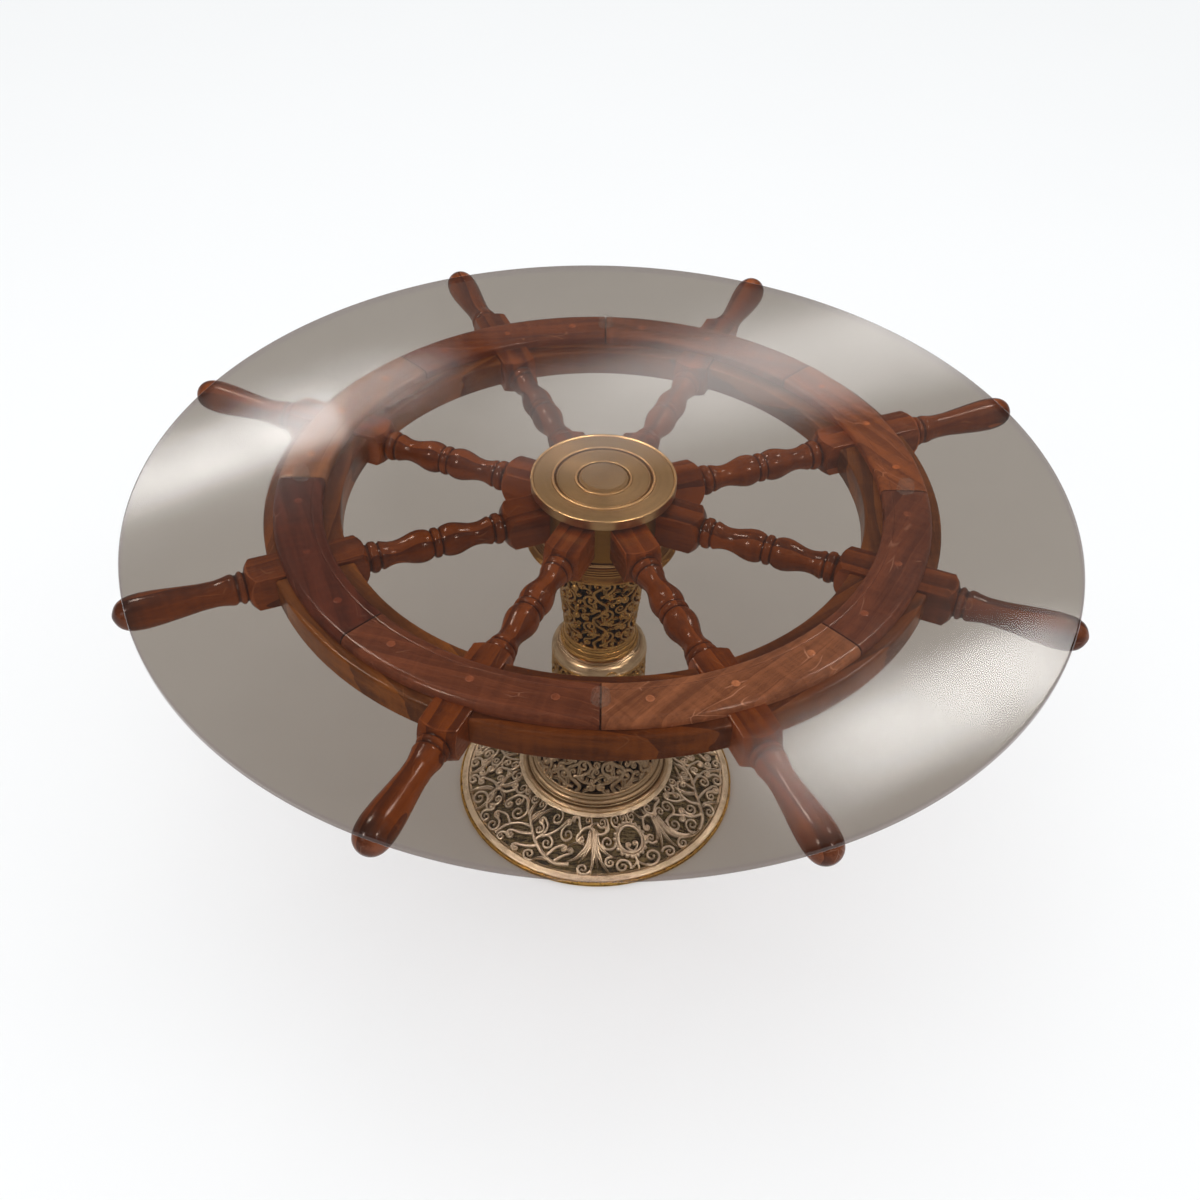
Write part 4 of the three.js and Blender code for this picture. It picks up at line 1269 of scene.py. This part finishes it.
def cartouche(work):
    """A plain ring in a scalloped frame with two curls inside it, on a small three-toed foot."""
    turns = np.linspace(0, TAU, 49)
    for radius, width in ((15.2, 3.4), (18.4, 2.6)):
        work.ribbon((0, 2) + unit(turns) * (radius, 1.06 * radius), np.full(49, width))
    for x, y in unit(full_turn(20) + TAU / 40):
        work.bead((19.6 * x, 2 + 20.6 * y), 2.7)
    for side in (-1, 1):
        work.tendril([(0, -13), (side * 3, -11), (side * 6.5, -7)], 2.8, 1.7, 3.6, 1.2, side)
        work.tendril([(0, -25), (side * 4, -29), (side * 8, -32)], 2.6, 1.8)
    work.tendril([(0, -18), (0, -26), (0, -34)], 2.8, 2.0)
    work.keep_clear((0, 2), 15)


def shell_leaf(work):
    """A head of long leaves that lean over to the right, with a sprig behind it."""
    leaf_head(work, SHELL_LEAVES, 0.14, 2)
    draw_strokes(work, SPRIG)


def base_scrollwork(work):
    """The flange's motifs. They run round half the flange and are then repeated."""
    round_band = TAU * Cone.MIDDLE
    motifs = [(-2, 0, acanthus_head), (46, 0, cartouche), (90, 16, shell_leaf), (174, 0, CLIMBING_STEM),
              (-87, 0, LEANING_TREE), (-165, 0, ROSETTE)]
    for start in (0, round_band / 2):
        for x, y, motif in motifs:
            work.at((start + x, y))
            if callable(motif):
                motif(work)
            else:
                draw_strokes(work, motif)
    work.fill(round_band, -35.5, 34.5, 3.4, 3, 5.6)


def build_flange(cone):
    """The base flange: its rim, its inner band and the cast scrollwork between them."""
    flange = Piece()
    rim = [(163.2, cone.height(167.2) - 3.2), (169.2, 5.3), (175.2, 5.3), (175.2, 6.0), (174.8, 6.7)]
    rim += [(r, cone.height(r) + rise) for r, rise in ((173.8, 0.1), (169.6, 0.1), (168.6, -0.1),
                                                       (167.9, -0.7), (166.4, -2.6))]
    flange.lathe(rim, 288)
    flange.lathe([(81.6, 36.0), (97.4, 35.6), (99.2, 36.2), (99.6, 37.4), (99.0, cone.height(99.0) - 0.2),
                  (95.6, 40.0), (81.6, 40.0)], 224)
    base_scrollwork(Scrollwork(flange, cone, 3.4, 0.0))
    flange.make("base_flange_pierced", "pedestal", "silvered_brass", [CAST_SILVER], ["base_flange"],
                sharp=50)


def build_liner(cone):
    """The cloth that lies under the flange, rippled a little where it slopes."""
    radius = np.linspace(36.3, 164.0, 26)
    height = np.where(radius < 84, 33.2, cone.height(radius) - 5.0)
    angle = full_turn(220)[:, None]
    ripple = 0.35 * np.sin(9 * angle) + 0.3 * np.sin(23 * angle + 1)
    top = around(radius, angle, height + ripple * np.clip((radius - 90) / 40, 0, 1))
    under = around(radius[::-1], angle, height[::-1] - 1.6)
    liner = Piece().grid(np.concatenate([top, under], axis=1), wrap_rows=True)
    liner.make("base_liner_cloth", "pedestal", "woven", [CLOTH], ["base_liner"], sharp=60)


def build_openwork():
    cone = Cone()
    build_flange(cone)
    build_liner(cone)
    antique = [ANTIQUE_BRASS, SHADE_SLEEVE_BRASS]
    silvered = [SILVERED_BRASS, SHADE_SLEEVE_BRASS]
    add_drum("upper_drum", [(42, 271.3), (44.2, 292), (48.4, 332), (49.6, 366), (50, 400)],
             measured_at=46.0, columns=6, rows=3, weight=4.6, edge_bands=[(271.3, 274.5), (396.5, 400)],
             seed=5, slot="antique_brass", materials=antique)
    add_drum("lower_drum", [(57.6, 152), (57.6, 241)],
             measured_at=57.6, columns=8, rows=2, weight=4.4, edge_bands=[(152, 156), (238, 241)],
             seed=8, slot="antique_brass", materials=antique)
    add_drum("bell", [(80, 54), (76, 74), (67, 99), (59, 126), (57, 140)],
             measured_at=68.0, columns=8, rows=2, weight=4.8, edge_bands=[(54, 57), (136, 140)],
             seed=11, slot="silvered_brass", materials=silvered)


# ---------------------------------------------------------------- stage, lights and camera

def build_stage():
    n = Nodes("floor_white")
    dust = n.noise(n.node("TexCoord").outputs["Object"], scale=3.0, detail=3.0)
    material = n.principled(Base_Color=n.mix(dust, (0.875, 0.888, 0.896), (0.885, 0.898, 0.906)),
                            Roughness=0.7, Specular_IOR_Level=0.0)
    reach = 14.0
    mesh = bpy.data.meshes.new("floor")
    mesh.from_pydata([(-reach, -reach, 0), (reach, -reach, 0), (reach, reach, 0), (-reach, reach, 0)], [],
                     [(0, 1, 2, 3)])
    mesh.materials.append(material)
    floor = bpy.data.objects.new("floor", mesh)
    bpy.context.scene.collection.objects.link(floor)


def build_world():
    """An even white studio, dimmer in reflections, and most of all in what the glass mirrors."""
    n = Nodes("studio", "World")
    path = n.node("LightPath").outputs
    not_through_glass = n.math("LESS_THAN", path["Transparent Depth"], 0.5)
    dimming = n.times(n.add(n.times(not_through_glass, 0.6), 0.2), path["Is Glossy Ray"])
    sky = n.node("Background", Color=(1.0, 1.0, 1.0, 1.0), Strength=n.less(1.0, dimming))
    bpy.context.scene.world = n.finish(sky.outputs[0])


def area_light(name, location, target, size, power):
    data = bpy.data.lights.new(name, "AREA")
    data.shape = "RECTANGLE"
    data.size, data.size_y = size
    data.energy = power
    light = bpy.data.objects.new(name, data)
    light.location = location
    heading = Vector(target) - Vector(location)
    light.rotation_euler = heading.to_track_quat("-Z", "Y").to_euler()
    bpy.context.scene.collection.objects.link(light)


TO_AXIS = Matrix.Translation((0, AXIS_Y * MM, 0))

# The camera, in metres in front of the wheel's axis and above the floor. It looks down by the pitch,
# leans to one side by the roll, and is turned round the axis by the last angle.
CAMERA_BACK = 1.27195
CAMERA_UP = 1.45118
CAMERA_PITCH = math.radians(41.79)
CAMERA_YAW = math.radians(-0.02)
CAMERA_ROLL = math.radians(1.56)
CAMERA_ROUND = math.radians(-0.5)
CAMERA_LENS = 43.44


def build_camera():
    heading = Vector((math.sin(CAMERA_YAW) * math.cos(CAMERA_PITCH),
                      math.cos(CAMERA_YAW) * math.cos(CAMERA_PITCH), -math.sin(CAMERA_PITCH)))
    level = heading.cross(Vector((0, 0, 1))).normalized()
    above = level.cross(heading)
    right = math.cos(CAMERA_ROLL) * level + math.sin(CAMERA_ROLL) * above
    up = -math.sin(CAMERA_ROLL) * level + math.cos(CAMERA_ROLL) * above
    pose = Matrix((right, up, -heading)).transposed().to_4x4()
    pose.translation = Vector((0, -CAMERA_BACK, CAMERA_UP))
    data = bpy.data.cameras.new("camera")
    data.sensor_width = 36.0
    data.lens = CAMERA_LENS
    camera = bpy.data.objects.new("camera", data)
    camera.matrix_world = TO_AXIS @ Matrix.Rotation(CAMERA_ROUND, 4, "Z") @ pose
    bpy.context.scene.collection.objects.link(camera)
    bpy.context.scene.camera = camera


def card_material(name, in_glass, under_glass):
    """A glow that fades towards its card's edges, with one strength for what is mirrored by the
    glass or lies clear of it, and another for what is seen through it."""
    n = Nodes(name)
    x, y, _ = n.node("SeparateXYZ", Vector=n.node("TexCoord").outputs["Object"]).outputs
    fall = n.times(n.band(n.times(x, x), 1.0, 0.0), n.band(n.times(y, y), 1.0, 0.0))
    below = n.math("GREATER_THAN", n.node("LightPath").outputs["Transparent Depth"], 0.5)
    level = n.add(n.times(below, under_glass - in_glass), in_glass)
    strength = n.times(n.math("POWER", fall, 1.6), level)
    glow = n.node("Emission", Color=(1, 0.985, 0.97, 1), Strength=strength)
    return n.finish(glow.outputs[0])


def add_card(name, middle, across, along, in_glass, under_glass):
    """A glowing card, given by its middle and half sides, that only reflections see."""
    facing = across.cross(along).normalized()
    mesh = bpy.data.meshes.new(name)
    mesh.from_pydata([(-1, -1, 0), (-1, 1, 0), (1, 1, 0), (1, -1, 0)], [], [(0, 1, 2, 3)])
    mesh.materials.append(card_material(name + "_glow", in_glass, under_glass))
    card = bpy.data.objects.new(name, mesh)
    pose = Matrix((across, along, facing)).transposed().to_4x4()
    pose.translation = middle
    card.matrix_world = TO_AXIS @ pose
    for ray in ("camera", "diffuse", "shadow", "transmission"):
        setattr(card, "visible_" + ray, False)
    bpy.context.scene.collection.objects.link(card)


# Cards that the glass mirrors as pale streaks: where each streak starts and ends on the glass, in
# metres from the axis, its half width there, and its glow.
STREAKS = [
    ((-0.655, -0.172), (-0.131, 0.235), 0.066, 25.0),
    ((-0.26, -0.002), (0.84, 0.497), 0.140, 7.4),
    ((0.100, -0.482), (0.512, -0.229), 0.068, 52.0),
]
STREAK_CARD_HEIGHT = 2.6
# What is seen through the glass mirrors the streak cards with this glow.
STREAK_UNDER_GLASS = 2.0
# Cards that put highlights on the varnish and brass under the glass: middle, half size, and glow.
WINDOWS = [
    ((-1.5, -1.1, 2.1), 0.26, 95.0),
    ((1.3, -1.3, 2.2), 0.25, 88.0),
    ((-1.1, 0.9, 2.4), 0.25, 95.0),
    ((1.3, 0.8, 2.4), 0.24, 88.0),
]


def build_cards():
    glass_top = GLASS_TOP * MM
    mirrored_eye = Vector((0, -CAMERA_BACK, 2 * glass_top - CAMERA_UP))
    mirrored_eye.rotate(Matrix.Rotation(CAMERA_ROUND, 3, "Z"))
    stretch = (STREAK_CARD_HEIGHT - mirrored_eye.z) / (glass_top - mirrored_eye.z)
    for index, (start, end, half_width, strength) in enumerate(STREAKS):
        first, last = (mirrored_eye + (Vector((*spot, glass_top)) - mirrored_eye) * stretch
                       for spot in (start, end))
        along = (last - first) / 2
        across = Vector((-along.y, along.x, 0)).normalized() * half_width * stretch
        add_card(f"streak_{index + 1}", (first + last) / 2, across, along, strength, STREAK_UNDER_GLASS)
    for index, (middle, half, strength) in enumerate(WINDOWS):
        heading = (Vector((0, 0, 0.4)) - Vector(middle)).normalized()
        across = heading.cross(Vector((0, 0, 1))).normalized() * half
        along = across.cross(heading).normalized() * half * 1.5
        add_card(f"window_{index + 1}", Vector(middle), across, along, 0.0, strength)


def build_lights():
    area_light("overhead", (-0.3, 0.1, 3.0), (0, 0, 0.45), (2.2, 2.0), 12)
    area_light("front_left", (-2.4, -2.2, 2.2), (0, 0, 0.4), (1.1, 1.1), 6)
    area_light("right", (2.4, -0.4, 2.6), (0, 0, 0.4), (1.2, 1.2), 6)


build_wheel()
build_hub()
build_glass()
build_turned_castings()
build_spindle()
build_openwork()
build_stage()
build_world()
build_lights()
build_camera()
build_cards()

bpy.context.scene.view_settings.view_transform = "Standard"
